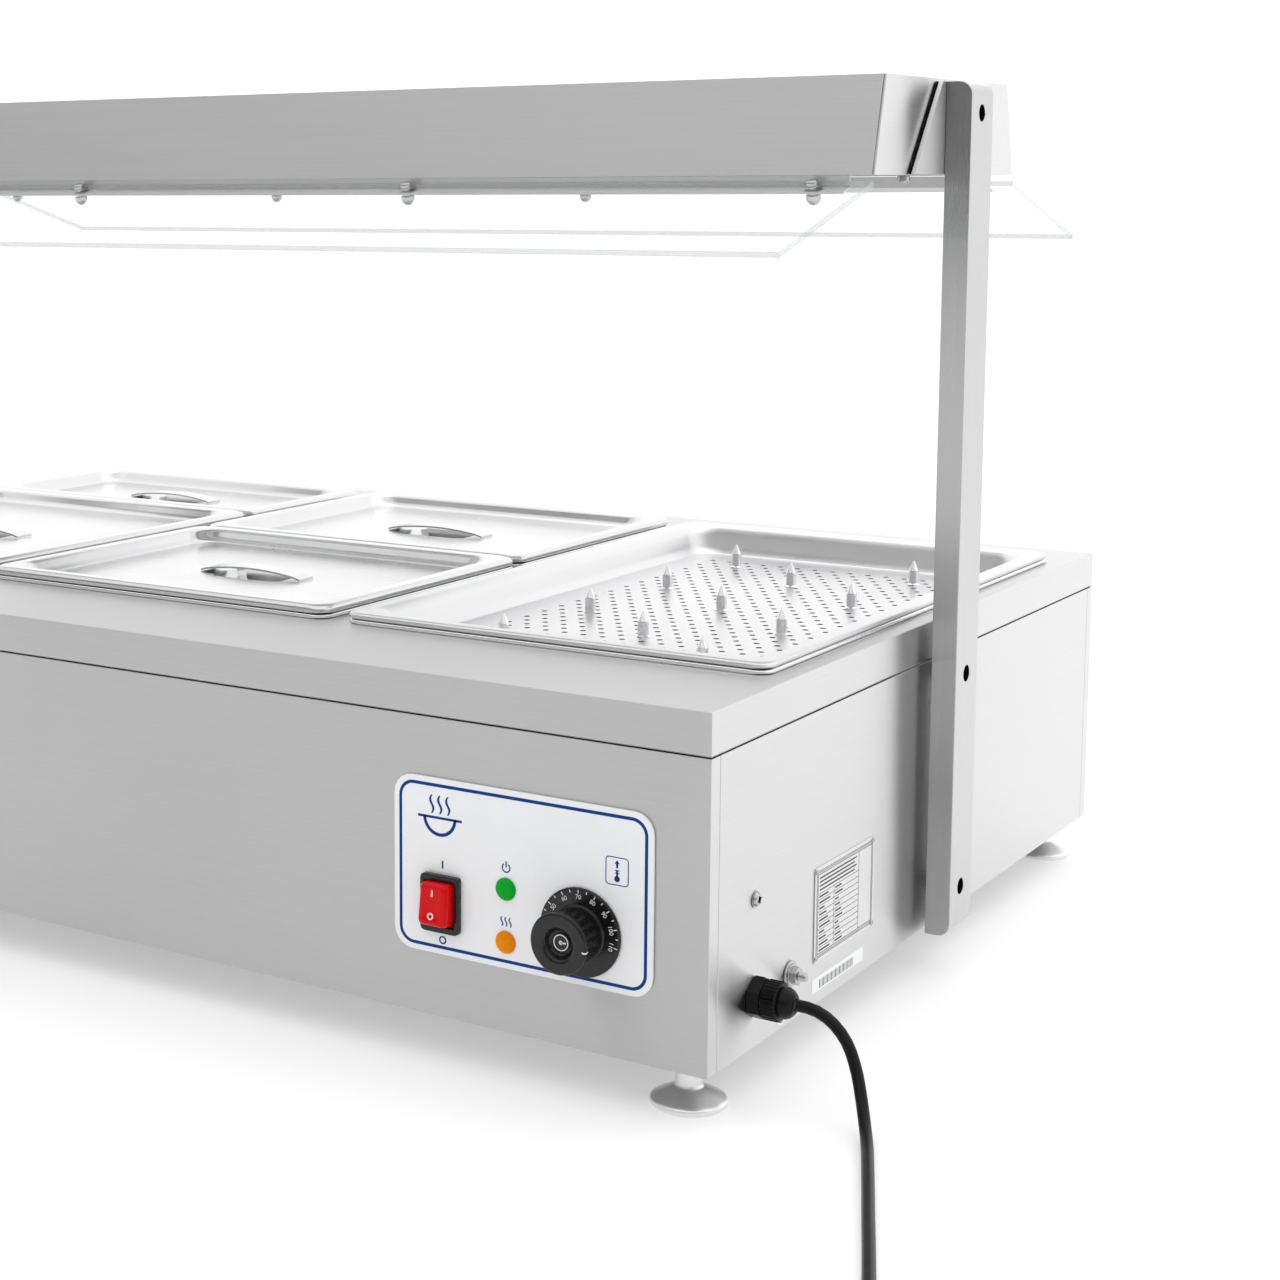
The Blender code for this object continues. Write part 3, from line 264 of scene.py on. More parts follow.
MATERIALS = {
    "steel_body": brushed("brushed_steel_body", 0.70, 0.33),
    "steel_post": brushed("brushed_steel_post", 0.68, 0.34, upright=True),
    "steel_inside": brushed("plain_steel_inside", 0.46, 0.42),
    "steel_pan": satin("satin_steel_pan", 0.84, 0.24),
    "steel_lid": satin("satin_steel_lid", 0.69, 0.23),
    "steel_tray": satin("dull_steel_tray", 0.74, 0.36),
    "chrome_foot": satin("polished_steel", 0.84, 0.40),
    # Painted shade: a darker copy of the post steel, for the posts' front and back faces.
    "steel_edge": brushed("painted_shade_post_faces", 0.42, 0.30, upright=True),
    "hardware": satin("plated_hardware", 0.48, 0.25),
    "panel_white": moulded("white_panel", (0.90, 0.905, 0.92), 0.38, 0.12, 2200.0, 0.012,
                           Specular_IOR_Level=0.3),
    "black_plastic": moulded("black_moulding", (0.006, 0.006, 0.0065), 0.24, 0.2, 1500.0, 0.10,
                             Specular_IOR_Level=0.40),
    "red_lens": lens("red_lens", (0.56, 0.002, 0.004), 0.16, 0.03, 400.0, 0.10,
                     0.16, (0.9, 0.0, 0.002), 0.10),
    "green_lens": lens("green_lens", (0.001, 0.34, 0.02), 0.25, 0.25, 500.0, 0.12,
                       0.08, (0, 0.6, 0.04), 0.06),
    "orange_lens": lens("orange_lens", (0.88, 0.25, 0.001), 0.25, 0.5, 500.0, 0.22,
                        0.08, (1, 0.35, 0), 0.06),
    "ceramic": moulded("glazed_ceramic", (0.80, 0.77, 0.70), 0.45, 0.1, 600.0),
    "lamp_glass": moulded("frosted_lamp_glass", (0.93, 0.91, 0.86), 0.35, 0.05, Transmission_Weight=0.6),
    "cord_rubber": moulded("cord_sheath", (0.004, 0.004, 0.0045), 0.32, 0.2, 1100.0, 0.12,
                           Specular_IOR_Level=0.18),
    "ink_blue": moulded("blue_print", (0.002, 0.05, 0.24), 0.45, 0.02, 1500.0, 0.03, Specular_IOR_Level=0.1),
    "ink_white": moulded("white_print", (0.80, 0.80, 0.80), 0.45, 0.02, 1500.0, 0.03),
    "ink_grey": moulded("grey_print", (0.03, 0.03, 0.032), 0.45, 0.02, 1500.0, 0.03, Specular_IOR_Level=0.1),
    "label_white": moulded("white_label", (0.86, 0.87, 0.88), 0.45, 0.05, 1500.0, 0.01),
    # Painted shade: near-black for bores, recesses and gaps, where shade falls.
    "hole_dark": moulded("painted_shade_black", (0.004, 0.004, 0.004), 0.8, 0.1, 900.0, 0.1,
                         Specular_IOR_Level=0.05),
    "label_metal": brushed("rating_plate_metal", 0.80, 0.38, strength=0.1),
}


def clear_sheet(name, colour, alpha):
    """Clear sheet: smooth, with a very faint unevenness, and seen straight through."""
    made = Shader(name, colour, 0.05, 0.0, Alpha=alpha)
    made.bump(made.noise(12.0, (1, 1, 1), 1.0), 0.02, 0.0004)
    return made.material


MATERIALS["clear_guard"] = clear_sheet("clear_guard", (0.70, 0.72, 0.73), 0.10)
MATERIALS["clear_edge"] = clear_sheet("clear_guard_edge", (0.45, 0.48, 0.49), 0.50)


# ---- mesh helpers


def piece(name, bm, material, body="root", replaces=(), angle=30):
    """Makes an object from a bmesh in world coordinates and lets it ride on a body."""
    bmesh.ops.recalc_face_normals(bm, faces=bm.faces)
    mesh = bpy.data.meshes.new(name)
    bm.to_mesh(mesh)
    bm.free()
    mesh.shade_smooth()
    mesh.set_sharp_from_angle(angle=math.radians(angle))
    obj = bpy.data.objects.new(name, mesh)
    bpy.context.scene.collection.objects.link(obj)
    mesh.materials.append(MATERIALS[material])
    weighted = obj.modifiers.new("flat_faces_first", "WEIGHTED_NORMAL")
    weighted.keep_sharp = True
    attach(obj, body)
    if replaces:
        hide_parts(*replaces)
    return obj


def soften(node, material, width, body="root", segments=2):
    """A copy of a node whose outermost edges are rounded, which stands for the node."""
    bm = bmesh.new()
    bm.from_mesh(frame["nodes"][node].data)
    bmesh.ops.remove_doubles(bm, verts=bm.verts, dist=1e-5)
    bmesh.ops.dissolve_limit(bm, angle_limit=math.radians(1.0), verts=bm.verts, edges=bm.edges)
    low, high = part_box(node)
    near = 2e-5

    def on_box(vertex):
        return any(
            abs(vertex.co[i] - low[i]) < near or abs(vertex.co[i] - high[i]) < near for i in range(3)
        )

    edges = [
        e for e in bm.edges
        if len(e.link_faces) == 2 and e.calc_face_angle() > math.radians(30) and all(map(on_box, e.verts))
    ]
    bmesh.ops.bevel(bm, geom=edges, offset=width, segments=segments, profile=0.5, affect="EDGES",
                    clamp_overlap=True)
    return piece(f"{node}_sheet", bm, material, body, (node,))


def band(bm, low, high):
    """Faces between two loops of the same count."""
    for i in range(len(low)):
        j = (i + 1) % len(low)
        bm.faces.new((low[i], low[j], high[j], high[i]))


def bridge_rings(bm, rings, closed=False):
    """Joins rings of the same count, and returns their vertices. closed adds the two end faces."""
    loops = [[bm.verts.new(p) for p in ring] for ring in rings]
    for low, high in zip(loops, loops[1:]):
        band(bm, low, high)
    if closed:
        bm.faces.new(loops[0])
        bm.faces.new(loops[-1])
    return loops


def merge(bm, other, matrix=Matrix.Identity(4)):
    """Adds another bmesh's faces to the first, moved by matrix, and frees the other."""
    mesh = bpy.data.meshes.new("part")
    other.transform(matrix)
    other.to_mesh(mesh)
    other.free()
    bm.from_mesh(mesh)
    bpy.data.meshes.remove(mesh)


def prism_mesh(outline, axis, low, high, bm=None):
    """Extrudes an outline along an axis. The outline's two numbers are the other two axes, in order."""
    bm = bm or bmesh.new()

    def point(pair, along):
        values = list(pair)
        values.insert("xyz".index(axis), along)
        return bm.verts.new(values)

    near = [point(pair, low) for pair in outline]
    far = [point(pair, high) for pair in outline]
    bm.faces.new(near)
    bm.faces.new(far)
    band(bm, near, far)
    return bm


TURNS = {
    "x": Matrix.Rotation(math.radians(90), 4, "Y"),
    "y": Matrix.Rotation(math.radians(-90), 4, "X"),
    "z": Matrix.Identity(4),
}


def lathe_mesh(profile, axis, centre, sides=32, bm=None, flutes=None):
    """Turns (radius, height) points about an axis. flutes(index, angle) scales the radius of one ring."""
    bm = bm or bmesh.new()
    turn = Matrix.Translation(centre) @ TURNS[axis]
    rings = []
    for index, (radius, height) in enumerate(profile):
        if radius == 0:
            rings.append([bm.verts.new(turn @ Vector((0, 0, height)))])
            continue
        ring = []
        for i in range(sides):
            angle = 2 * math.pi * i / sides
            r = radius * (flutes(index, angle) if flutes else 1.0)
            ring.append(bm.verts.new(turn @ Vector((r * math.cos(angle), r * math.sin(angle), height))))
        rings.append(ring)
    for low, high in zip(rings, rings[1:]):
        if len(low) == len(high):
            band(bm, low, high)
            continue
        tip, ring = sorted((low, high), key=len)
        for i in range(sides):
            bm.faces.new((tip[0], ring[i], ring[(i + 1) % sides]))
    for ring in (rings[0], rings[-1]):
        if len(ring) > 1:
            bm.faces.new(ring)
    return bm


def rounded_profile(points, steps=4):
    """Rounds a profile's corners. Each point is (a, b) or (a, b, corner radius)."""
    made = []
    for index, point in enumerate(points):
        here = Vector(point[:2])
        if len(point) < 3 or index in (0, len(points) - 1):
            made.append(tuple(here))
            continue
        before = Vector(points[index - 1][:2]) - here
        after = Vector(points[index + 1][:2]) - here
        reach = min(point[2], before.length * 0.49, after.length * 0.49)
        start, end = here + before.normalized() * reach, here + after.normalized() * reach
        for i in range(steps + 1):
            t = i / steps
            made.append(tuple(start * (1 - t) ** 2 + here * 2 * t * (1 - t) + end * t**2))
    return made


def rounded_ring(centre, half, radius, z, steps=8):
    """Points round a rounded rectangle, anticlockwise."""
    points = []
    for sign_x, sign_y, start in ((1, 1, 0), (-1, 1, 90), (-1, -1, 180), (1, -1, 270)):
        corner = Vector((centre[0] + sign_x * (half[0] - radius), centre[1] + sign_y * (half[1] - radius), z))
        for i in range(steps + 1):
            angle = math.radians(start + 90 * i / steps)
            points.append(corner + radius * Vector((math.cos(angle), math.sin(angle), 0)))
    return points


def smooth_route(points, spacing):
    """Points at an even spacing along a Catmull-Rom curve through points."""
    points = [Vector(p) for p in points]
    ends = [points[0] * 2 - points[1]] + points + [points[-1] * 2 - points[-2]]
    fine = []
    for i in range(1, len(ends) - 2):
        before, start, end, after = ends[i - 1 : i + 3]
        for step in range(20):
            t = step / 20
            bend = (2 * before - 5 * start + 4 * end - after) * t**2
            twist = (3 * start - before - 3 * end + after) * t**3
            fine.append(0.5 * (2 * start + (end - before) * t + bend + twist))
    fine.append(points[-1])
    kept, travelled = [fine[0]], 0.0
    for previous, point in zip(fine, fine[1:]):
        travelled += (point - previous).length
        if travelled >= spacing:
            kept.append(point)
            travelled = 0.0
    if (kept[-1] - fine[-1]).length > spacing / 3:
        kept.append(fine[-1])
    return kept


# ---- mains lead

CORD_DIAMETER = 0.0075
COIL_CENTRE = Vector((RIGHT + 0.155, FRONT - 0.2545, 0))
COIL_OUTER = 0.0488  # radius of the outermost turn's centreline
COIL_STEP = 0.0077  # from one turn to the next
COIL_LOW, COIL_HIGH = 0.0042, 0.0119  # the two layers' centrelines
COIL_START = 22  # degrees, where the lead meets the coil
COIL_TURNS = 4 + 112 / 360

# The lead's way from the gland, as x from the body's right side, y from its front, z from the ground.
LEAD_ROUTE = (
    (0.0290, 0.0620, 0.0630),
    (0.0400, 0.0619, 0.0624),
    (0.0520, 0.0612, 0.0572),
    (0.0625, 0.0595, 0.0470),
    (0.0700, 0.0560, 0.0330),
    (0.0765, 0.0490, 0.0190),
    (0.0840, 0.0370, 0.0085),
    (0.0930, 0.0190, 0.0042),
    (0.1030, -0.0040, 0.0040),
    (0.1150, -0.0320, 0.0040),
    (0.1290, -0.0650, 0.0040),
    (0.1440, -0.1000, 0.0040),
    (0.1600, -0.1380, 0.0040),
    (0.1730, -0.1695, 0.0040),
    (0.1815, -0.1905, 0.0040),
)


def coil_point(turn):
    """A point of the stored turns: inwards on the floor, up, and outwards again on the second layer."""
    angle = math.radians(COIL_START) - 2 * math.pi * turn
    climb = min(1.0, max(0.0, (turn - 2.15) / 0.5))
    climb = climb * climb * (3 - 2 * climb)
    if turn < 2.4:
        radius = COIL_OUTER - COIL_STEP * min(turn, 2.0)
    else:
        inner = COIL_OUTER - 2 * COIL_STEP
        radius = inner + 2 * COIL_STEP * (turn - 2.4) / (COIL_TURNS - 2.4)
    height = COIL_LOW + (COIL_HIGH - COIL_LOW) * climb
    return COIL_CENTRE + Vector((radius * math.cos(angle), radius * math.sin(angle), height))


def make_lead():
    corner = Vector((RIGHT, FRONT, 0))
    route = [corner + Vector(p) for p in LEAD_ROUTE]
    steps = round(COIL_TURNS * 18)
    route += [coil_point(COIL_TURNS * i / steps) for i in range(steps + 1)]
    plug_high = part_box("mains_plug")[1]
    plug_axis_z = middle("mains_plug").z
    tail_y = COIL_CENTRE.y - COIL_OUTER
    sleeve = Vector((plug_high.x, tail_y, plug_axis_z))
    route.append(Vector((sleeve.x + 0.017, tail_y - 0.0002, plug_axis_z - 0.003)))
    route.append(sleeve + Vector((-0.002, 0, 0)))
    curve = bpy.data.curves.new("mains_lead", "CURVE")
    curve.dimensions = "3D"
    curve.bevel_depth = CORD_DIAMETER / 2
    curve.bevel_resolution = 6
    curve.use_fill_caps = True
    points = smooth_route(route, CORD_DIAMETER * 0.8)
    spline = curve.splines.new("POLY")
    spline.points.add(len(points) - 1)
    for target, point in zip(spline.points, points):
        target.co = (*point, 1.0)
    lead = bpy.data.objects.new("mains_lead", curve)
    bpy.context.scene.collection.objects.link(lead)
    curve.materials.append(MATERIALS["cord_rubber"])
    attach(lead, "root")
    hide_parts("mains_cord", "cord_coil")
    return lead, points


def make_coil_tie():
    """A flat strap round one side of the coil, with its two twisted ends."""
    inner = COIL_OUTER - 2 * COIL_STEP - CORD_DIAMETER / 2
    outer = COIL_OUTER + CORD_DIAMETER / 2
    half = ((outer - inner) / 2 + 0.0006, (COIL_HIGH - COIL_LOW + CORD_DIAMETER) / 2 + 0.0003)
    centre_x = COIL_CENTRE.x + (outer + inner) / 2
    centre_z = (COIL_HIGH + COIL_LOW) / 2 + 0.0003
    bm = bmesh.new()
    rings = []
    for grow, y in ((0, -0.003), (0.0007, -0.0026), (0.0007, 0.0026), (0, 0.003)):
        ring = rounded_ring((centre_x, centre_z), (half[0] + grow, half[1] + grow * 0.4), 0.004, 0, 5)
        rings.append([Vector((p.x, COIL_CENTRE.y + y, p.y)) for p in ring])
    loops = bridge_rings(bm, rings)
    band(bm, loops[-1], loops[0])
    knot = Vector((COIL_CENTRE.x + inner + 0.012, COIL_CENTRE.y, centre_z + half[1] + 0.001))
    for side in (-1, 1):
        base = knot + Vector((0, side * 0.004, 0))
        tail = prism_mesh(((0, 0), (0.012, 0.002), (0.012, 0.003), (0, 0.001)), "y", -0.0012, 0.0012)
        merge(bm, tail, Matrix.Translation(base) @ Matrix.Rotation(side * 0.5, 4, "Z"))
    return piece("coil_tie", bm, "black_plastic")


def make_plug():
    """A moulded two-pin mains plug: ribbed sleeve, round body with grip rings and plated pins."""
    low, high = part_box("mains_plug")
    centre = Vector((high.x, COIL_CENTRE.y - COIL_OUTER, (low.z + high.z) / 2))
    radius = (high.z - low.z) / 2
    profile = [(0, -0.0002)]
    for i in range(6):
        x, r = -0.0028 * i, 0.0046 + 0.00045 * i
        profile += [(r, x), (r, x - 0.0014), (r - 0.0008, x - 0.0016), (r - 0.0006, x - 0.0026)]
    profile += [(0.0085, -0.0172), (0.0135, -0.0205), (0.0165, -0.0240), (radius, -0.0300)]
    for i in range(3):
        x = -0.0320 - 0.003 * i
        groove = radius - 0.0009
        profile += [(radius, x), (groove, x - 0.0005), (groove, x - 0.0013), (radius, x - 0.0018)]
    profile += [(radius, -0.0442), (radius - 0.0008, -0.0450), (0, -0.0450)]
    plug = piece("plug_moulding", lathe_mesh(profile, "x", centre, 40), "black_plastic",
                 replaces=("mains_plug",))
    pins = bmesh.new()
    for side in (-1, 1):
        pin = ((0, -0.0640), (0.0014, -0.0638), (0.0023, -0.0625), (0.0024, -0.0445), (0, -0.0445))
        lathe_mesh(pin, "x", centre + Vector((0, side * 0.0095, 0)), 16, pins)
    prongs = piece("plug_pins", pins, "chrome_foot")
    return plug, prongs


def make_gland():
    """A hexagon nut against the side sheet and a ribbed cap that tapers on to the lead."""
    nut_middle = middle("gland_nut")
    centre = Vector((RIGHT, nut_middle.y, nut_middle.z))
    radius = half_size("gland_nut").z
    across = math.cos(math.radians(30))

    def hexagon(index, angle):
        flat = across / math.cos((angle % math.radians(60)) - math.radians(30))
        return flat if index in (1, 2) else min(flat, 0.93)

    nut = ((radius, 0.0003), (radius, 0.0012), (radius, 0.0072), (radius, 0.0084))
    piece("gland_hexagon", lathe_mesh(nut, "x", centre, 72, flutes=hexagon), "cord_rubber",
          replaces=("gland_nut",), angle=20)

    def ribs(index, angle):
        return 1.0 + 0.03 * math.copysign(1, math.sin(angle * 30)) if 2 <= index <= 3 else 1.0

    cap = (
        (0.0090, 0.0085), (0.0118, 0.0088), (0.0121, 0.0096), (0.0121, 0.0180), (0.0114, 0.0190),
        (0.0092, 0.0194), (0.0092, 0.0202), (0.0100, 0.0207), (0.0098, 0.0224), (0.0088, 0.0248),
        (0.0070, 0.0268), (0.0056, 0.0278), (0.0040, 0.0280), (0.0038, 0.0270),
    )
    return piece("gland_ribbed_cap", lathe_mesh(cap, "x", centre, 120, flutes=ribs), "cord_rubber",
                 replaces=("gland_cap",), angle=25)


lead, lead_path = make_lead()
tie = make_coil_tie()
plug, prongs = make_plug()
gland_cap = make_gland()


# ---- sheet metal body


POST_HOLES = (0.3507, -0.0363, -0.1897)  # heights from the worktop
POST_HOLE_RADIUS = 0.0058
BRACKET_HALF = (0.0255, 0.0710)  # half lengths of the bracket plate's top and bottom edges
# Thickness of the dark strips of painted shadow along each bracket plate's sloping edges.
BRACKET_SHADOW_STRIP = 0.0013


def make_body():
    soften("top_plate", "steel_body", 0.0012, segments=3)
    for node in ("front_panel", "right_panel", "left_panel", "rear_panel"):
        soften(node, "steel_body", 0.0006)
    for node in ("hood_shell", "hood_end_right", "hood_end_left"):
        soften(node, "steel_body", 0.0005)
    for node in ("hood_bracket_right", "hood_bracket_left"):
        soften(node, "steel_post", 0.0002)
        low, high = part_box(node)
        near = low.x if node.endswith("right") else high.x - BRACKET_SHADOW_STRIP
        far = near + BRACKET_SHADOW_STRIP
        # Dark strips along the bracket plate's sloping edges: painted shadow in the gap between the bracket and
        # the hood end.
        seam_shadows = bmesh.new()
        for side in (-1, 1):
            outline = [
                (middle(node).y + side * (BRACKET_HALF[0] + 0.0002), high.z - 0.0005),
                (middle(node).y + side * (BRACKET_HALF[1] + 0.0002), low.z + 0.0002),
                (middle(node).y + side * (BRACKET_HALF[1] + 0.0006), low.z + 0.0002),
                (middle(node).y + side * (BRACKET_HALF[0] + 0.0006), high.z - 0.0005),
            ]
            prism_mesh(outline, "x", near, far, seam_shadows)
        piece(f"{node}_seams", seam_shadows, "hole_dark")
    for node in ("post_right", "post_left"):
        post = soften(node, "steel_post", 0.0010, segments=3)
        post.data.materials.append(MATERIALS["hole_dark"])
        # The second slot is painted shade in the bores. The third is painted shade on the front and back faces.
        post.data.materials.append(MATERIALS["steel_edge"])
        middle_y = middle(node).y
        for polygon in post.data.polygons:
            y, z = polygon.center.y - middle_y, polygon.center.z - TOP
            # Faces inside the bores get painted shade: they are drawn near-black.
            inside = abs(polygon.normal.x) < 0.5 and any(
                math.hypot(y, z - height) < POST_HOLE_RADIUS * 1.02 for height in POST_HOLES
            )
            # Painted shade: faces towards the front or back take the darker post steel.
            edge = abs(polygon.normal.y) > 0.7
            polygon.material_index = 1 if inside else 2 if edge else 0
    for node in ("guard_glass_front", "guard_glass_rear"):
        guard = soften(node, "clear_guard", 0.0005)
        guard.data.materials.append(MATERIALS["clear_edge"])
        for polygon in guard.data.polygons:
            polygon.material_index = 0 if polygon.area > 0.01 else 1


FOOT_NODES = ("foot_front_right", "foot_front_left", "foot_rear_right", "foot_rear_left")


def make_feet():
    """Turned feet: a broad disc with a shallow cone, a neck and a thread going up into the body."""
    for node in FOOT_NODES:
        centre = (middle(node).x, middle(node).y, 0)
        disc = half_size(node).x
        neck = 0.0082
        outline = [
            (0, 0), (disc - 0.0012, 0, 0.0005), (disc, 0.0010, 0.0008), (disc, 0.0034, 0.0010),
            (disc - 0.0014, 0.0046, 0.0010), (0.0112, 0.0102, 0.0020), (0.0090, 0.0112, 0.0010),
            (neck, 0.0125, 0.0010), (neck, 0.0297, 0.0003), (0.0050, 0.0297),
        ]
        profile = rounded_profile(outline)
        thread_pitch = 0.0015
        for i in range(14):
            z = 0.0300 + thread_pitch * i
            profile += [(0.0050, z), (0.0044, z + thread_pitch / 2)]
        profile.append((0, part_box(node)[1].z))
        piece(f"{node}_turning", lathe_mesh(profile, "z", centre, 48), "chrome_foot", node, (node,), 40)


# ---- pans, lids and the spiked tray


def stepped_rings(centre, half, profile, corner, inner_corner, steps=8):
    """Rings for a pressed sheet. profile is (inset from the outer edge, height)."""
    rings = []
    for inset, z in profile:
        blend = min(1.0, inset / 0.012)
        radius = corner + (inner_corner - corner) * blend
        rings.append(rounded_ring(centre, (half[0] - inset, half[1] - inset), radius, z, steps))
    return rings


def rect_of(node):
    """A node's centre and half size seen from above, and its lowest and highest points."""
    low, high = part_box(node)
    return tuple(middle(node).xy), tuple(half_size(node).xy), low.z, high.z


SHEET = 0.0008
PAN_CORNERS = (0.012, 0.022)  # radii at the rim and inside


def pressed_sheet(centre, half, top, below):
    """A sheet with a turned edge, and the inner loops of its upper and lower faces, which stay open."""
    bm = bmesh.new()
    stacks = []
    for profile in (rounded_profile(top), rounded_profile(below)[:-1]):
        stacks.append(bridge_rings(bm, stepped_rings(centre, half, profile, *PAN_CORNERS)))
    upper, lower = stacks
    band(bm, lower[-1], upper[0])
    return bm, upper[-1], lower[0]


def make_pan(node):
    """A gastronorm pan: a flange with a turned edge, rolled over into tapering walls and a floor."""
    centre, half, floor, rim = rect_of(node)
    under = rim - 0.0035
    top = [
        (0.0006, under), (0, under + 0.0008, 0.0004), (0, rim - 0.001, 0.001), (0.0020, rim, 0.001),
        (0.0095, rim, 0.002), (0.0128, rim - 0.004, 0.003), (0.0200, floor + 0.012, 0.006),
        (0.0260, floor + SHEET, 0.010), (0.0420, floor + SHEET),
    ]
    below = [(0.0420, floor), (0.0252, floor, 0.010), (0.0192, floor + 0.012, 0.006),
             (0.0118, under, 0.002), (0.0006, under)]
    bm, upper, lower = pressed_sheet(centre, half, top, below)
    bm.faces.new(upper)
    bm.faces.new(lower)
    piece(f"{node}_pressing", bm, "steel_pan", node, (node,), 40)


DISH_HALF = (0.0416, 0.0260)
DISH_STEPS = (  # share of the half size, and depth
    (1.06, 0.0), (1.0, 0.0006), (0.94, 0.0025), (0.86, 0.0062),
    (0.78, 0.0095), (0.66, 0.0114), (0.45, 0.0120), (0.2, 0.0120),
)
STRAP_STEPS = 20
STRAP_THICK = 0.0014


def oval_ring(centre, half, ring, z):
    """An oval with one point for each of ring's points, at matching angles."""
    mid_x = sum(p.x for p in ring) / len(ring)
    mid_y = sum(p.y for p in ring) / len(ring)
    reach_x = max(p.x for p in ring) - mid_x
    reach_y = max(p.y for p in ring) - mid_y
    made = []
    for p in ring:
        angle = math.atan2((p.y - mid_y) / reach_y, (p.x - mid_x) / reach_x)
        x, y = half[0] * math.cos(angle), half[1] * math.sin(angle)
        made.append(Vector((centre[0] + x, centre[1] + y, z)))
    return made


def make_lid(node):
    """A lid: turned-down edge, flat rim, sunk middle with a finger dish, and a strap over the dish."""
    centre, half, _, rim = rect_of(node)
    skirt = rim - 0.006
    strap_low, strap_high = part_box(f"{node}_handle")
    panel = strap_low.z - 0.0003
    top = [
        (0.0006, skirt), (0, skirt + 0.0006, 0.0004),
        (0.0002, rim - 0.0020, 0.0018), (0.0026, rim, 0.0020),
        (0.0130, rim, 0.0030), (0.0195, panel + 0.0008, 0.0050), (0.0300, panel),
    ]
    below = [
        (0.0300, panel - SHEET), (0.0190, panel - SHEET, 0.0050), (0.0135, rim - 0.0035, 0.0030),
        (0.0110, rim - SHEET, 0.0020), (0.0010, rim - SHEET, 0.0010), (0.0010, skirt),
    ]
    bm = bmesh.new()
    edge = stepped_rings(centre, half, rounded_profile(below)[::-1], 0.011, 0.022, 10)[::-1]
    upper = stepped_rings(centre, half, rounded_profile(top), 0.012, 0.022, 10)

    def dish(ring, drop):
        return [
            oval_ring(centre, tuple(h * share for h in DISH_HALF), ring, panel - drop - depth)
            for share, depth in DISH_STEPS
        ]

    bridge_rings(bm, dish(upper[-1], SHEET)[::-1] + edge + upper + dish(upper[-1], 0.0), closed=True)
    piece(f"{node}_pressing", bm, "steel_lid", node, (node,), 40)

    width = (strap_high.y - strap_low.y) / 2
    length = strap_high.x - strap_low.x
    rise = strap_high.z - strap_low.z - 0.0015
    lower, higher = [], []
    for i in range(STRAP_STEPS + 1):
        x = strap_low.x + length * i / STRAP_STEPS
        lift = strap_low.z + rise * math.sin(math.pi * i / STRAP_STEPS) ** 0.7
        lower.append((x, lift))
        higher.append((x, lift + STRAP_THICK))
    bm = prism_mesh(lower + higher[::-1], "y", centre[1] - width, centre[1] + width)
    corners = [e for e in bm.edges if e.calc_face_angle() > math.radians(40)]
    bmesh.ops.bevel(bm, geom=corners, offset=0.0005, segments=2, profile=0.5, affect="EDGES",
                    clamp_overlap=True)
    piece(f"{node}_strap", bm, "steel_lid", node, (f"{node}_handle",), 40)


HOLE_PITCH = (0.0156, 0.01283)  # between holes in a row, and between rows
HOLE_RADIUS = 0.0024
HOLE_ROWS = 33
HOLES_PER_ROW = 15  # every other row has one fewer and stands half a pitch over
SPIKE_PITCH = (0.078, 0.124)
SPIKE_HEIGHT = 0.0198


def floor_cell(bm, x, y, half, low, high, hole):
    """One cell of the tray's floor, both faces, with or without an eight-sided hole through it."""
    around = [(1, 0), (1, 1), (0, 1), (-1, 1), (-1, 0), (-1, -1), (0, -1), (1, -1)]
    if not hole:
        around = [corner for corner in around if corner[0]]
    circles = []
    for z, flip in ((high, False), (low, True)):
        square = [bm.verts.new((x + half[0] * a, y + half[1] * b, z)) for a, b in around]
        if not hole:
            bm.faces.new(square[::-1] if flip else square)
            continue
        circle = []
        for i in range(8):
            angle = math.pi * i / 4
            place = (x + HOLE_RADIUS * math.cos(angle), y + HOLE_RADIUS * math.sin(angle), z)
            circle.append(bm.verts.new(place))
        if flip:
            band(bm, circle, square)
        else:
            band(bm, square, circle)
        circles.append(circle)
    if hole:
        band(bm, *circles)


def floor_grid(centre, low, high):
    """The perforated field: rows of holes, each row half a pitch over from the one before."""
    grid = bmesh.new()
    half = (HOLE_PITCH[0] / 2, HOLE_PITCH[1] / 2)
    for row in range(HOLE_ROWS):
        y = centre[1] + (row - (HOLE_ROWS - 1) / 2) * HOLE_PITCH[1]
        short = row % 2 == 1
        count = HOLES_PER_ROW - short
        for column in range(count):
            x = centre[0] + (column - (count - 1) / 2) * HOLE_PITCH[0]
            floor_cell(grid, x, y, half, low, high, True)
        if short:
            edge = count * HOLE_PITCH[0] / 2 + half[0] / 2
            for side in (-1, 1):
                floor_cell(grid, centre[0] + side * edge, y, (half[0] / 2, half[1]), low, high, False)
    bmesh.ops.remove_doubles(grid, verts=grid.verts, dist=1e-6)
    return grid


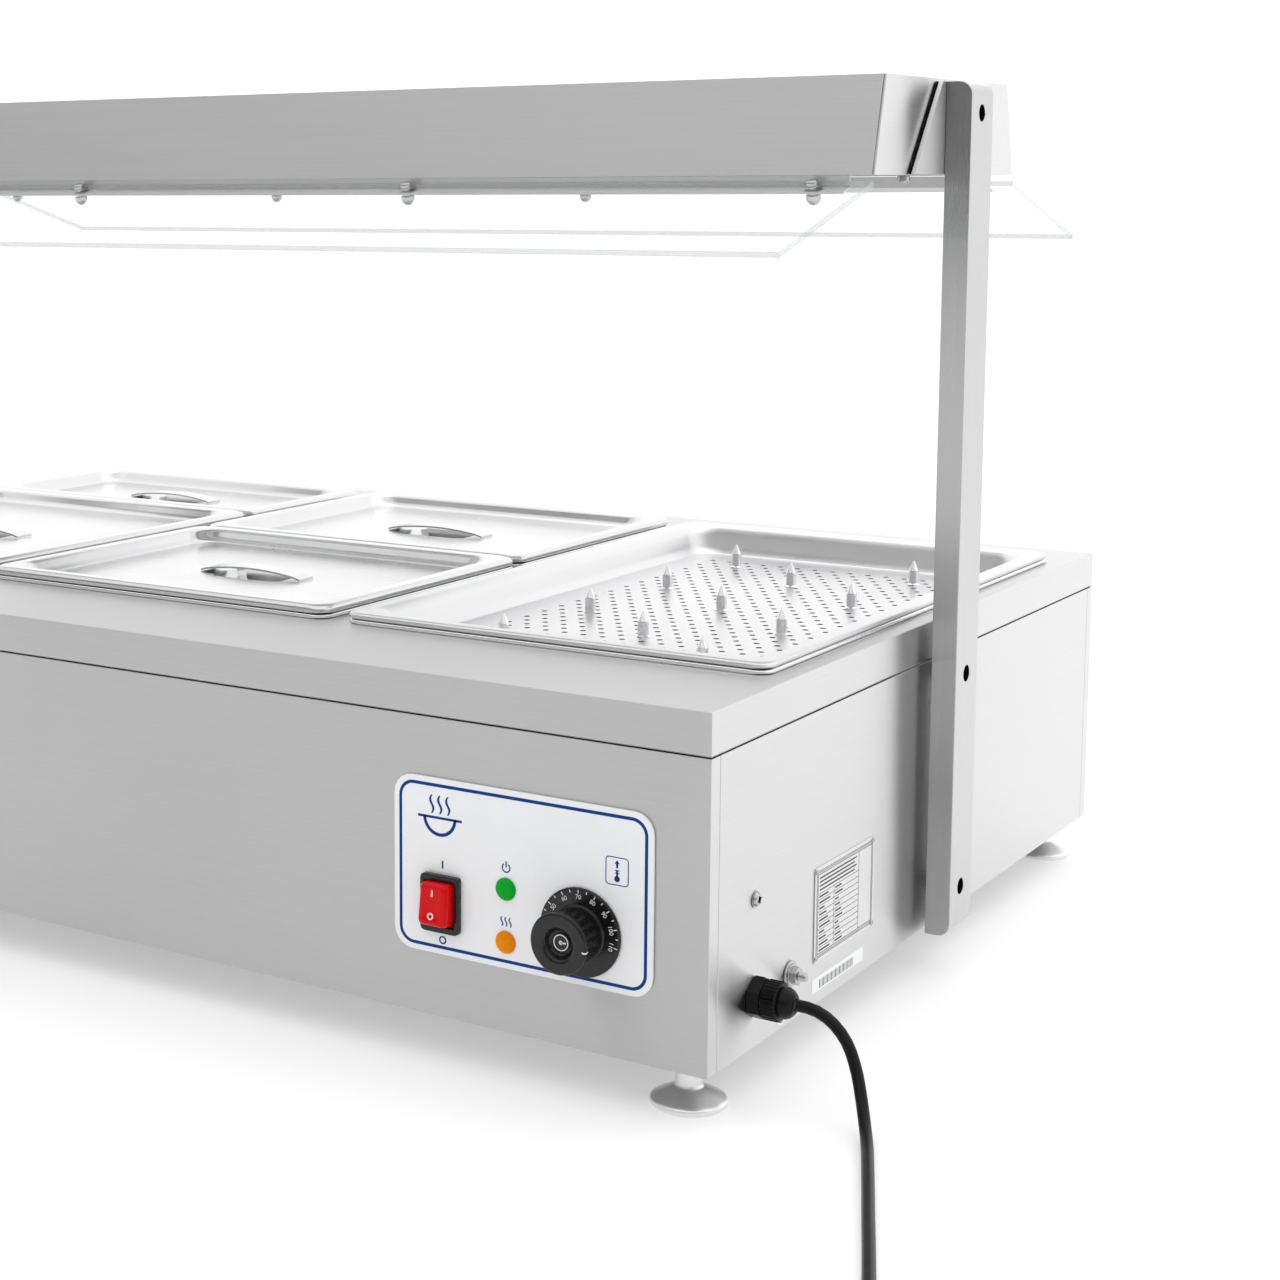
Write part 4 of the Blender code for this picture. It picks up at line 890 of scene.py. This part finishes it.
def make_spiked_tray():
    """A shallow tray with a finely perforated floor and eleven pointed spikes."""
    node = "spiked_tray"
    centre, half, floor, _ = rect_of(node)
    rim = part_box("meat_pan")[1].z + 0.0003 + 0.004
    under = rim - 0.004
    top = [
        (0.0006, under), (0, under + 0.0008, 0.0004), (0, rim - 0.001, 0.001), (0.0022, rim, 0.001),
        (0.0120, rim, 0.003), (0.0165, rim - 0.005, 0.004), (0.0215, floor + 0.005, 0.003),
        (0.0250, floor + SHEET, 0.003), (0.0275, floor + SHEET),
    ]
    below = [(0.0275, floor), (0.0245, floor, 0.003), (0.0207, floor + 0.005, 0.003),
             (0.0155, under, 0.002), (0.0006, under)]
    bm, upper, lower = pressed_sheet(centre, half, top, below)
    tray_edges = set(bm.edges)
    merge(bm, floor_grid(centre, floor, floor + SHEET))
    for level, loop in ((floor + SHEET, upper), (floor, lower)):
        inner = [
            e for e in bm.edges
            if e not in tray_edges and e.is_boundary and all(abs(v.co.z - level) < 1e-6 for v in e.verts)
        ]
        outer = [bm.edges.get((loop[i], loop[(i + 1) % len(loop)])) for i in range(len(loop))]
        bmesh.ops.bridge_loops(bm, edges=inner + outer)
    piece(f"{node}_pressing", bm, "steel_tray", node, (node,), 40)

    spikes = bmesh.new()
    for line, count in ((-1, 4), (0, 3), (1, 4)):
        for i in range(count):
            place = (
                centre[0] + line * SPIKE_PITCH[0],
                centre[1] + (i - (count - 1) / 2) * SPIKE_PITCH[1],
                floor,
            )
            profile = [
                (0, 0.0004), (0.0054, 0.0004), (0.0054, 0.0011), (0.0047, 0.0016), (0.0041, 0.0020),
                (0.0040, 0.0026),
                (0.0040, SPIKE_HEIGHT - 0.0086), (0.0036, SPIKE_HEIGHT - 0.0074),
                (0.0007, SPIKE_HEIGHT - 0.0004), (0, SPIKE_HEIGHT),
            ]
            lathe_mesh(profile, "z", place, 20, spikes)
    piece("tray_spikes", spikes, "steel_pan", node, angle=35)


# ---- control panel

PANEL_LOW, PANEL_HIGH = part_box("control_plate")
PLATE_FACE = PANEL_LOW.y


def printed(shapes, place, near, far):
    """Thin raised shapes. Each is a closed outline, or an outer and an inner one. place(a, b, out) puts
    a point of the outline at a distance out of the face."""
    bm = bmesh.new()
    for shape in shapes:
        rings = shape if isinstance(shape[0][0], (tuple, list)) else (shape,)
        loops = [
            [bm.verts.new(place(a, b, out)) for a, b in ring] for ring in rings for out in (near, far)
        ]
        if len(rings) == 1:
            band(bm, *loops)
            bm.faces.new(loops[0])
            bm.faces.new(loops[1])
            continue
        outer_back, outer_face, inner_back, inner_face = loops
        around = (outer_back, outer_face, inner_face, inner_back, outer_back)
        for first, second in zip(around, around[1:]):
            band(bm, first, second)
    return bm


PRINT_GAP = 0.00002


def face_print(name, shapes, material, depth=HAIR, body="root", face=PLATE_FACE):
    """Flat printed shapes on a face towards -Y."""
    bm = printed(shapes, lambda x, z, out: (x, face - out, z), PRINT_GAP, depth)
    return piece(name, bm, material, body)


def frame_shape(centre, half, radius, width, steps=8):
    """An outline band: a rounded rectangle and the same one moved in."""
    outer = [(p.x, p.y) for p in rounded_ring(centre, half, radius, 0, steps)]
    inner_half = (half[0] - width, half[1] - width)
    inner = [(p.x, p.y) for p in rounded_ring(centre, inner_half, max(radius - width, 0.0002), 0, steps)]
    return outer, inner


def polar(centre, radius, degrees):
    angle = math.radians(degrees)
    return centre[0] + radius * math.cos(angle), centre[1] + radius * math.sin(angle)


def disc(centre, radius, sides=24):
    return [polar(centre, radius, 360 * i / sides) for i in range(sides)]


def ring_shape(centre, radius, width, sides=28):
    return disc(centre, radius, sides), disc(centre, radius - width, sides)


def bar_shape(start, end, width):
    start, end = Vector(start), Vector(end)
    along = (end - start).normalized() * width / 2
    side = Vector((-along.y, along.x))
    return [tuple(start - side), tuple(end - side), tuple(end + side), tuple(start + side)]


def wave_shape(centre, height, swing, width, steps=14):
    """A wavy upright stroke, as steam."""
    left, right = [], []
    for i in range(steps + 1):
        t = i / steps
        x = centre[0] + swing * math.sin(2 * math.pi * t)
        y = centre[1] - height / 2 + height * t
        thin = width / 2 * (0.35 + 0.65 * math.sin(math.pi * (0.12 + 0.76 * t)))
        left.append((x - thin, y))
        right.append((x + thin, y))
    return left + right[::-1]


def arc_band(centre, radius, width, start, stop, steps=18):
    turns = [start + (stop - start) * i / steps for i in range(steps + 1)]
    outer = [polar(centre, radius, turn) for turn in turns]
    return outer + [polar(centre, radius - width, turn) for turn in turns[::-1]]


def make_control_plate():
    soften("control_plate", "panel_white", 0.0005)
    plate, half = middle("control_plate"), half_size("control_plate")
    border = frame_shape((plate.x, plate.z), (half.x - 0.0038, half.z - 0.0036), 0.0108, 0.0021, 10)

    mark = (PANEL_LOW.x + 0.0345, PANEL_HIGH.z - 0.0210)
    steam = [
        wave_shape((mark[0] + dx, mark[1] + 0.004), 0.012, 0.0012, 0.0018) for dx in (-0.006, 0, 0.006)
    ]
    bowl = arc_band((mark[0], mark[1] - 0.004), 0.0125, 0.0022, 180, 360, 20)
    rail = mark[1] - 0.0045
    table_line = bar_shape((mark[0] - 0.0165, rail), (mark[0] + 0.0165, rail), 0.0016)

    gauge = (RIGHT - 0.0606, TOP - 0.1045)
    badge = frame_shape(gauge, (0.0079, 0.0088), 0.0024, 0.0006)
    bulb = disc((gauge[0], gauge[1] - 0.0048), 0.0019)
    stem = bar_shape((gauge[0], gauge[1] - 0.004), (gauge[0], gauge[1] + 0.0008), 0.0013)
    ticks = [
        bar_shape((gauge[0] - 0.0016, gauge[1] + dz), (gauge[0] + 0.0016, gauge[1] + dz), 0.0005)
        for dz in (-0.0012, 0.0004)
    ]
    arrow_points = (
        (0, 0.0068), (-0.0017, 0.0046), (-0.0007, 0.0046), (-0.0007, 0.0020),
        (0.0007, 0.0020), (0.0007, 0.0046), (0.0017, 0.0046),
    )
    arrow = [(gauge[0] + x, gauge[1] + z) for x, z in arrow_points]

    switch = middle("switch_housing")
    low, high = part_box("switch_housing")
    on = bar_shape((switch.x, high.z + 0.0035), (switch.x, high.z + 0.0085), 0.0012)
    off = ring_shape((switch.x, low.z - 0.0058), 0.0027, 0.0010)

    power = middle("power_lamp")
    above = (power.x, power.z + 0.0135)
    power_sign = arc_band(above, 0.0032, 0.0009, 125, 415, 20)
    power_bar = bar_shape((above[0], above[1] + 0.0002), (above[0], above[1] + 0.0042), 0.0009)
    heat = middle("heat_lamp")
    above = (heat.x, heat.z + 0.0130)
    heat_sign = [
        wave_shape((above[0] + dx, above[1]), 0.0062, 0.0007, 0.0011) for dx in (-0.0030, 0, 0.0030)
    ]

    shapes = [border, badge, *steam, bowl, table_line, bulb, stem, *ticks, arrow, on, off]
    shapes += [power_sign, power_bar, *heat_sign]
    face_print("panel_print", shapes, "ink_blue")


def make_lamps():
    """Domed lens in a thin collar; the inside of each lens is faceted."""
    for node, material in (("power_lamp", "green_lens"), ("heat_lamp", "orange_lens")):
        centre = Vector((middle(node).x, PLATE_FACE, middle(node).z))
        radius = half_size(node).x
        outline = [
            (0, -0.0035), (0.0022, -0.00345), (0.0040, -0.0031), (0.0055, -0.0024), (0.0062, -0.0018),
            (0.0064, -0.0014), (radius - 0.0003, -0.0012), (radius, -0.0008), (radius, -0.0003),
            (0.0050, -0.0003), (0.0050, 0.0190), (0, 0.0190),
        ]

        def facets(index, angle):
            return 1.0 + 0.035 * math.cos(angle * 12) if 1 <= index <= 4 else 1.0

        piece(f"{node}_lens", lathe_mesh(outline, "y", centre, 48, flutes=facets), material,
              replaces=(node,), angle=50)


ROCKER_HALF = (0.0103, 0.0138)
ROCKER_REST = -8  # degrees


def make_switch():
    """The bezel with its raised inner frame, and a lit red rocker with a line and a ring on it."""
    soften("switch_housing", "black_plastic", 0.0009, segments=3)
    joint = next(j for j in frame["joints"] if j["child"] == "rocker")
    pivot = Vector(joint["pos_m"])
    half_x, half_z = ROCKER_HALF
    rings = []
    for y, inset, radius in (
        (0.0048, 0.0052, 0.0010), (-0.0020, 0.0004, 0.0016), (-0.0040, 0.0, 0.0022),
        (-0.0096, 0.0001, 0.0028),
        (-0.0116, 0.0004, 0.0030), (-0.0129, 0.0011, 0.0030), (-0.0137, 0.0021, 0.0028),
        (-0.0139, 0.0030, 0.0024), (-0.0137, 0.0048, 0.0018), (-0.0133, 0.0070, 0.0012),
    ):
        ring = rounded_ring((0, 0), (half_x - inset, half_z - inset), radius, 0, 6)
        rings.append([Vector((corner.x, y, corner.y)) for corner in ring])
    bm = bmesh.new()
    bridge_rings(bm, rings, closed=True)
    turn = Matrix.Translation(pivot) @ Matrix.Rotation(math.radians(ROCKER_REST), 4, "X")
    bmesh.ops.transform(bm, matrix=turn, verts=bm.verts)
    piece("rocker_lens", bm, "red_lens", "rocker", ("switch_rocker",), 35)

    marks = bmesh.new()
    face, root = -0.01395, -0.0125
    prism_mesh(bar_shape((0, 0.0052), (0, 0.0092), 0.0009), "y", face, root, marks)
    for i in range(24):
        outer, inner = disc((0, -0.0072), 0.0022), disc((0, -0.0072), 0.0014)
        j = (i + 1) % 24
        prism_mesh([outer[i], outer[j], inner[j], inner[i]], "y", face, root, marks)
    bmesh.ops.transform(marks, matrix=turn, verts=marks.verts)
    piece("rocker_marks", marks, "ink_white", "rocker")


DIAL_VALUES = range(30, 120, 10)
DIAL_START, DIAL_STEP = 196.0, -26.0  # degrees of the first number and to the next


def text_mesh(bm, body, size, matrix):
    """Adds a word's outlines, as thin raised shapes, to a bmesh."""
    curve = bpy.data.curves.new("number", "FONT")
    curve.body = body
    curve.size = size
    curve.align_x = "CENTER"
    curve.align_y = "CENTER"
    curve.extrude = HAIR / 2
    obj = bpy.data.objects.new("number", curve)
    bpy.context.scene.collection.objects.link(obj)
    graph = bpy.context.evaluated_depsgraph_get()
    mesh = bpy.data.meshes.new_from_object(obj.evaluated_get(graph))
    mesh.transform(matrix)
    bm.from_mesh(mesh)
    bpy.data.objects.remove(obj)
    bpy.data.curves.remove(curve)
    bpy.data.meshes.remove(mesh)


def make_dial():
    """The numbered ring, its ticks and plain numbers, and the flared knob with a recessed middle."""
    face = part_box("dial_ring")[0].y
    centre = middle("dial_ring")
    radius = half_size("dial_ring").x
    soften("dial_ring", "black_plastic", 0.0006)
    ticks = []
    for half_step in range(2 * len(DIAL_VALUES) - 1):
        angle = math.radians(DIAL_START + DIAL_STEP / 2 * half_step)
        reach = 0.0024 if half_step % 2 == 0 else 0.0016
        way = Vector((math.cos(angle), math.sin(angle)))
        start = Vector((centre.x, centre.z)) + way * (radius - 0.0012)
        ticks.append(bar_shape(start, start - way * reach, 0.0006))
    face_print("dial_ticks", ticks, "ink_white", face=face)
    numbers = bmesh.new()
    upright = Matrix.Rotation(math.radians(90), 4, "X")
    for index, value in enumerate(DIAL_VALUES):
        degrees = DIAL_START + DIAL_STEP * index
        angle = math.radians(degrees)
        place = centre + Vector((math.cos(angle), 0, math.sin(angle))) * (radius - 0.0057)
        place.y = face - HAIR / 2
        spin = Matrix.Rotation(math.radians(90 - degrees), 4, "Y")
        text_mesh(numbers, str(value), 0.0040, Matrix.Translation(place) @ spin @ upright)
    piece("dial_numbers", numbers, "ink_white")

    low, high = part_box("thermostat_knob")
    tip = low.y
    outline = [
        (0, tip + 0.0050), (0.0068, tip + 0.0050, 0.001), (0.0080, tip + 0.0044, 0.001),
        (0.0100, tip + 0.0008, 0.002), (0.0118, tip, 0.001), (0.0180, tip, 0.001),
        (0.0193, tip + 0.0009, 0.0008),
        (0.0192, tip + 0.0022, 0.001), (0.0172, tip + 0.0110, 0.004), (0.0166, face - 0.0040, 0.002),
        (0.0166, face - 0.0016, 0.0006), (0.0180, face - 0.0010, 0.0004), (0.0180, face - 0.0003),
        (0.0030, face - 0.0003), (0.0030, high.y), (0, high.y),
    ]
    hub = Vector((centre.x, 0, centre.z))
    piece("knob_turning", lathe_mesh(rounded_profile(outline), "y", hub, 72), "black_plastic",
          "knob", ("thermostat_knob",), 40)
    cap = [(0, tip + 0.0049), (0.0062, tip + 0.0049), (0.0062, tip + 0.0044, 0.0003),
           (0.0055, tip + 0.0042, 0.0003), (0, tip + 0.0042)]
    piece("knob_cap", lathe_mesh(rounded_profile(cap, 3), "y", hub, 40), "black_plastic", "knob", angle=40)
    ring = ring_shape((centre.x, centre.z), 0.0051, 0.0006, 32)
    face_print("knob_cap_ring", [ring], "ink_white", body="knob", face=tip + 0.0042)
    key = [disc((centre.x, centre.z), 0.0013, 16),
           bar_shape((centre.x, centre.z), (centre.x + 0.0034, centre.z), 0.0010)]
    face_print("knob_cap_sign", key, "ink_white", body="knob", face=tip + 0.0042)
    strip = bmesh.new()
    way = ((0.0168, tip), (0.0182, tip), (0.0193, tip + 0.0011), (0.0191, tip + 0.0026),
           (0.0184, tip + 0.0052))
    rings = []
    for radius, y in way:
        ring = []
        for lift in (HAIR * 1.5, -HAIR):
            for turn in (-0.5, 0.5):
                angle = math.radians(-7) + turn * 0.0009 / radius
                r = radius + lift * 0.7
                ring.append(hub + Vector((r * math.cos(angle), y - lift * 0.7, r * math.sin(angle))))
        rings.append([ring[0], ring[1], ring[3], ring[2]])
    bridge_rings(strip, rings, closed=True)
    piece("knob_pointer", strip, "ink_white", "knob")


# ---- right side

SIDE_SCREW = Vector((0.0618, -0.1276))  # from the front, and from the worktop, as are the next three
RATING_PLATE, RATING_PLATE_HALF = (0.197, -0.1625), (0.048, 0.0315)
EARTH_SIGN = (0.102, -0.2135)
LABEL_LOW, LABEL_HIGH = (0.148, -0.214), (0.230, -0.2045)


def side_print(name, shapes, material, depth, start=PRINT_GAP):
    """Flat shapes on the right side, given as (distance from the front, height below the worktop)."""
    bm = bmesh.new()
    for shape in shapes:
        outline = [(FRONT + y, TOP + z) for y, z in shape]
        prism_mesh(outline, "x", RIGHT + start, RIGHT + start + depth, bm)
    return piece(name, bm, material)


def screw_mesh(centre, radius, height, bm=None):
    """The pan head of a screw or rivet towards +X, with a sunk middle."""
    outline = [(radius * 0.98, 0.0), (radius, height * 0.35, 0.0003), (radius * 0.80, height * 0.85, 0.0006),
               (radius * 0.45, height), (radius * 0.32, height * 0.55), (0, height * 0.45)]
    return lathe_mesh(rounded_profile(outline, 3), "x", centre, 24, bm)


def make_side_details():
    """Screw, earth stud, rating plate on four rivets, blank label and the small earth sign."""
    screw = Vector((RIGHT + 0.0002, FRONT + SIDE_SCREW.x, TOP + SIDE_SCREW.y))
    piece("side_screw", screw_mesh(screw, 0.0044, 0.0028), "hardware", angle=40)
    washer = [(0.0046, 0.0002), (0.0053, 0.0002), (0.0053, 0.0007), (0.0046, 0.0007)]
    ring = lathe_mesh(washer, "x", Vector((RIGHT, screw.y, screw.z)), 28)
    piece("side_screw_washer", ring, "hardware", angle=40)
    # The cross recess is drawn as a raised black cross: painted shade standing for the shadow in the recess.
    recess = bmesh.new()
    for turn in (20, 110):
        way = Vector((math.cos(math.radians(turn)), math.sin(math.radians(turn)))) * 0.0024
        outline = bar_shape(SIDE_SCREW - way, SIDE_SCREW + way, 0.0010)
        points = [(FRONT + y, TOP + z) for y, z in outline]
        prism_mesh(points, "x", RIGHT + 0.0018, RIGHT + 0.0031, recess)
    piece("side_screw_recess", recess, "hole_dark")

    centre = Vector((RIGHT, middle("earth_stud").y, middle("earth_stud").z))

    def hexagon(index, angle):
        flat = math.cos(math.radians(30)) / math.cos((angle % math.radians(60)) - math.radians(30))
        return flat if 8 <= index <= 11 else 1.0

    stack = [
        (0.0088, 0.0003), (0.0090, 0.0006), (0.0090, 0.0013), (0.0086, 0.0016), (0.0070, 0.0017),
        (0.0070, 0.0024), (0.0066, 0.0026), (0.0060, 0.0027), (0.0060, 0.0028), (0.0062, 0.0032),
        (0.0062, 0.0064), (0.0060, 0.0068), (0.0046, 0.0070),
    ]
    thread = []
    for i in range(5):
        thread += [(0.0029, 0.0072 + 0.0009 * i), (0.0025, 0.0072 + 0.0009 * i + 0.00045)]
    thread.append((0.0022, 0.0119))
    piece("earth_stud_stack", lathe_mesh(stack + thread, "x", centre, 48, flutes=hexagon), "hardware",
          replaces=("earth_stud",), angle=35)

    outline = [(p.x, p.y) for p in rounded_ring(RATING_PLATE, RATING_PLATE_HALF, 0.002, 0, 3)]
    side_print("rating_plate", [outline], "label_metal", 0.0006)
    lines = []
    left, bottom = (at - half for at, half in zip(RATING_PLATE, RATING_PLATE_HALF))
    right, top = (at + half for at, half in zip(RATING_PLATE, RATING_PLATE_HALF))
    inset, thin = 0.005, 0.0005
    column = right - 0.026
    for y in (left + inset, column, right - inset):
        lines.append(bar_shape((y, bottom + inset), (y, top - inset), thin))
    lines.append(bar_shape((left + 0.030, bottom + inset), (left + 0.030, top - 0.018), thin))
    for z in (bottom + inset, top - inset):
        lines.append(bar_shape((left + inset, z), (right - inset, z), thin))
    for grow in (0.0012, 0.0022):
        ends = (left + inset - grow, right - inset + grow, bottom + inset - grow, top - inset + grow)
        for y in ends[:2]:
            lines.append(bar_shape((y, ends[2]), (y, ends[3]), thin * 0.8))
        for z in ends[2:]:
            lines.append(bar_shape((ends[0], z), (ends[1], z), thin * 0.8))
    rows = 11
    pitch = (top - 0.018 - bottom - inset) / (rows - 1)
    for i in range(1, rows):
        z = bottom + inset + pitch * i
        lines.append(bar_shape((left + inset, z), (column, z), thin * 0.7))
        entry = 0.008 + 0.003 * (i * 3 % 4)
        for start, length in ((left + inset + 0.002, entry), (left + 0.032, entry * 0.7)):
            lines.append(bar_shape((start, z - pitch / 2), (start + length, z - pitch / 2), 0.0011))
    for i in range(4):
        z = top - 0.0078 - 0.0026 * i
        lines.append(bar_shape((left + inset + 0.002, z), (column - 0.004 - 0.003 * (i % 2), z), 0.0010))
    side_print("rating_plate_ruling", lines, "ink_grey", 0.00005, 0.0006)
    rivets = bmesh.new()
    for y in (left + 0.0028, right - 0.0028):
        for z in (bottom + 0.0028, top - 0.0028):
            place = Vector((RIGHT + 0.0006, FRONT + y, TOP + z))
            screw_mesh(place, 0.0019, 0.0010, rivets)
    piece("rating_plate_rivets", rivets, "hardware", angle=40)

    label = [LABEL_LOW, (LABEL_HIGH[0], LABEL_LOW[1]), LABEL_HIGH, (LABEL_LOW[0], LABEL_HIGH[1])]
    side_print("blank_label", [label], "label_white", 0.00012)
    bars = []
    for i in range(26):
        y = 0.160 + 0.0021 * i
        bars.append(bar_shape((y, -0.2128), (y, -0.2072), 0.0006 + 0.0005 * (i % 3 == 0)))
    side_print("label_bars", bars, "ink_grey", 0.00005, 0.00014)
    side_print("earth_sign", [disc(EARTH_SIGN, 0.0062)], "label_white", 0.00012)
    ring_outer, ring_inner = ring_shape(EARTH_SIGN, 0.0048, 0.0006)
    strokes = []
    for i in range(len(ring_outer)):
        j = (i + 1) % len(ring_outer)
        strokes.append([ring_outer[i], ring_outer[j], ring_inner[j], ring_inner[i]])
    y, level = EARTH_SIGN
    for width, drop in ((0.0050, 0), (0.0034, 0.0012), (0.0018, 0.0024)):
        strokes.append(bar_shape((y - width / 2, level - drop), (y + width / 2, level - drop), 0.0005))
    strokes.append(bar_shape((y, level), (y, level + 0.0030), 0.0005))
    side_print("earth_sign_strokes", strokes, "ink_grey", 0.00005, 0.00014)


# ---- bridge details

GUARD_BOLTS = (-0.477, -0.159, 0.159, 0.477)
GUARD_SLOPE = math.radians(16.6)


def make_guard_bolts():
    """Each guard is held by four bolts with a washer above it and an acorn nut under the strip."""
    for label, sign in (("front", 1), ("rear", -1)):
        strip_low, strip_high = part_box(f"guard_strip_{label}")
        edge = strip_low.y + 0.0045 if sign > 0 else strip_high.y - 0.0045
        bm = bmesh.new()
        glass_low, glass_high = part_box(f"guard_glass_{label}")
        inner = glass_high.y if sign > 0 else glass_low.y
        height = glass_high.z - 0.0038 - abs(inner - edge) * math.tan(GUARD_SLOPE)
        for x in GUARD_BOLTS:
            one = bmesh.new()
            head = rounded_profile([(0, 0.0040), (0.0035, 0.0040, 0.001), (0.0045, 0.0026, 0.001),
                                    (0.0045, 0.0004), (0.0060, 0.0004), (0.0060, 0.0), (0.0026, 0.0),
                                    (0.0026, -0.0060)], 3)
            nut = rounded_profile([(0.0048, -0.0062), (0.0048, -0.0092, 0.0006), (0.0040, -0.0108, 0.001),
                                   (0.0022, -0.0128, 0.001), (0, -0.0132)], 3)
            lathe_mesh(head + nut, "z", (0, 0, 0), 18, one)
            tilt = Matrix.Rotation(sign * GUARD_SLOPE, 4, "X")
            merge(bm, one, Matrix.Translation((x, edge, height + 0.0022)) @ tilt)
        piece(f"guard_bolts_{label}", bm, "hardware", angle=35)
    small = bmesh.new()
    hood_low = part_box("hood_end_right")[0]
    for side in (-1, 1):
        for y in (-0.055, 0.055):
            centre = (side * (RIGHT - 0.010), middle("hood_end_right").y + y, hood_low.z - 0.0002)
            profile = [(0.0040, 0.0), (0.0042, -0.0008), (0.0042, -0.0036), (0.0034, -0.0046), (0, -0.0048)]
            lathe_mesh(profile, "z", centre, 18, small)
    piece("hood_end_screws", small, "hardware", angle=35)


# ---- what the record's slots look like


def dress_nodes():
    """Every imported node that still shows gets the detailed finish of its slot."""
    slots = {s["node"]: s["material_slot"] for s in frame["record"]["subparts"]}
    for name, obj in frame["nodes"].items():
        material = MATERIALS[slots[name]]
        if obj.data.materials:
            for index in range(len(obj.data.materials)):
                obj.material_slots[index].material = material
        else:
            obj.data.materials.append(material)


# ---- floor and light


FLOOR_SIZE, FLOOR_GLOW = 30, 0.36

# The studio's light by direction, as a direction's range and a strength's range: dim in front of the
# unit, bright behind it and overhead.
WORLD_FRONT_TO_BACK = (-0.70, 0.20, 0.05, 1.32)
WORLD_UPWARD = (-0.02, 0.80, 0.05, 1.25)


def make_stage():
    bm = bmesh.new()
    bmesh.ops.create_grid(bm, x_segments=2, y_segments=2, size=FLOOR_SIZE)
    mesh = bpy.data.meshes.new("floor")
    bm.to_mesh(mesh)
    bm.free()
    floor = bpy.data.objects.new("floor", mesh)
    floor.location.z = -0.0004
    bpy.context.scene.collection.objects.link(floor)
    shader = Shader("pale_floor", (0.70, 0.70, 0.70), 0.9, 0.0,
                    Emission_Color=(1.0, 1.0, 1.0, 1.0), Emission_Strength=FLOOR_GLOW)
    mesh.materials.append(shader.material)

    world = bpy.data.worlds.new("studio")
    world.use_nodes = True
    bpy.context.scene.world = world
    bpy.context.scene.view_settings.view_transform = "Standard"
    tree = world.node_tree
    coords = tree.nodes.new("ShaderNodeTexCoord")
    parts = tree.nodes.new("ShaderNodeSeparateXYZ")
    tree.links.new(coords.outputs["Generated"], parts.inputs["Vector"])
    brighter = tree.nodes.new("ShaderNodeMath")
    brighter.operation = "MAXIMUM"
    for index, (axis, values) in enumerate((("Y", WORLD_FRONT_TO_BACK), ("Z", WORLD_UPWARD))):
        fade = tree.nodes.new("ShaderNodeMapRange")
        fade.interpolation_type = "SMOOTHSTEP"
        for socket, value in zip(MAP_SOCKETS, values):
            fade.inputs[socket].default_value = value
        tree.links.new(parts.outputs[axis], fade.inputs["Value"])
        tree.links.new(fade.outputs["Result"], brighter.inputs[index])
    tree.links.new(brighter.outputs["Value"], tree.nodes["Background"].inputs["Strength"])
    tree.nodes["Background"].inputs["Color"].default_value = (1.0, 1.0, 1.0, 1.0)


TOP_LIGHT_PLACE, TOP_LIGHT_AIM = (0.2, 0.9, 2.8), (0.1, 0.0, 0.2)
TOP_LIGHT_SIZE, TOP_LIGHT_POWER = (3.0, 1.2), 9


def make_lights():
    data = bpy.data.lights.new("top", "AREA")
    data.shape = "RECTANGLE"
    data.size, data.size_y = TOP_LIGHT_SIZE
    data.energy = TOP_LIGHT_POWER
    light = bpy.data.objects.new("top", data)
    light.location = TOP_LIGHT_PLACE
    way = Vector(TOP_LIGHT_AIM) - Vector(TOP_LIGHT_PLACE)
    light.rotation_euler = way.to_track_quat("-Z", "Y").to_euler()
    bpy.context.scene.collection.objects.link(light)


dress_nodes()
make_body()
make_feet()
for pan_node in ("pan_half_front", "pan_half_rear", "pan_two_thirds", "pan_one_third", "meat_pan"):
    make_pan(pan_node)
for lid_node in ("lid_half_front", "lid_half_rear", "lid_two_thirds", "lid_one_third"):
    make_lid(lid_node)
make_spiked_tray()
make_control_plate()
make_lamps()
make_switch()
make_dial()
make_side_details()
make_guard_bolts()
make_stage()
make_lights()
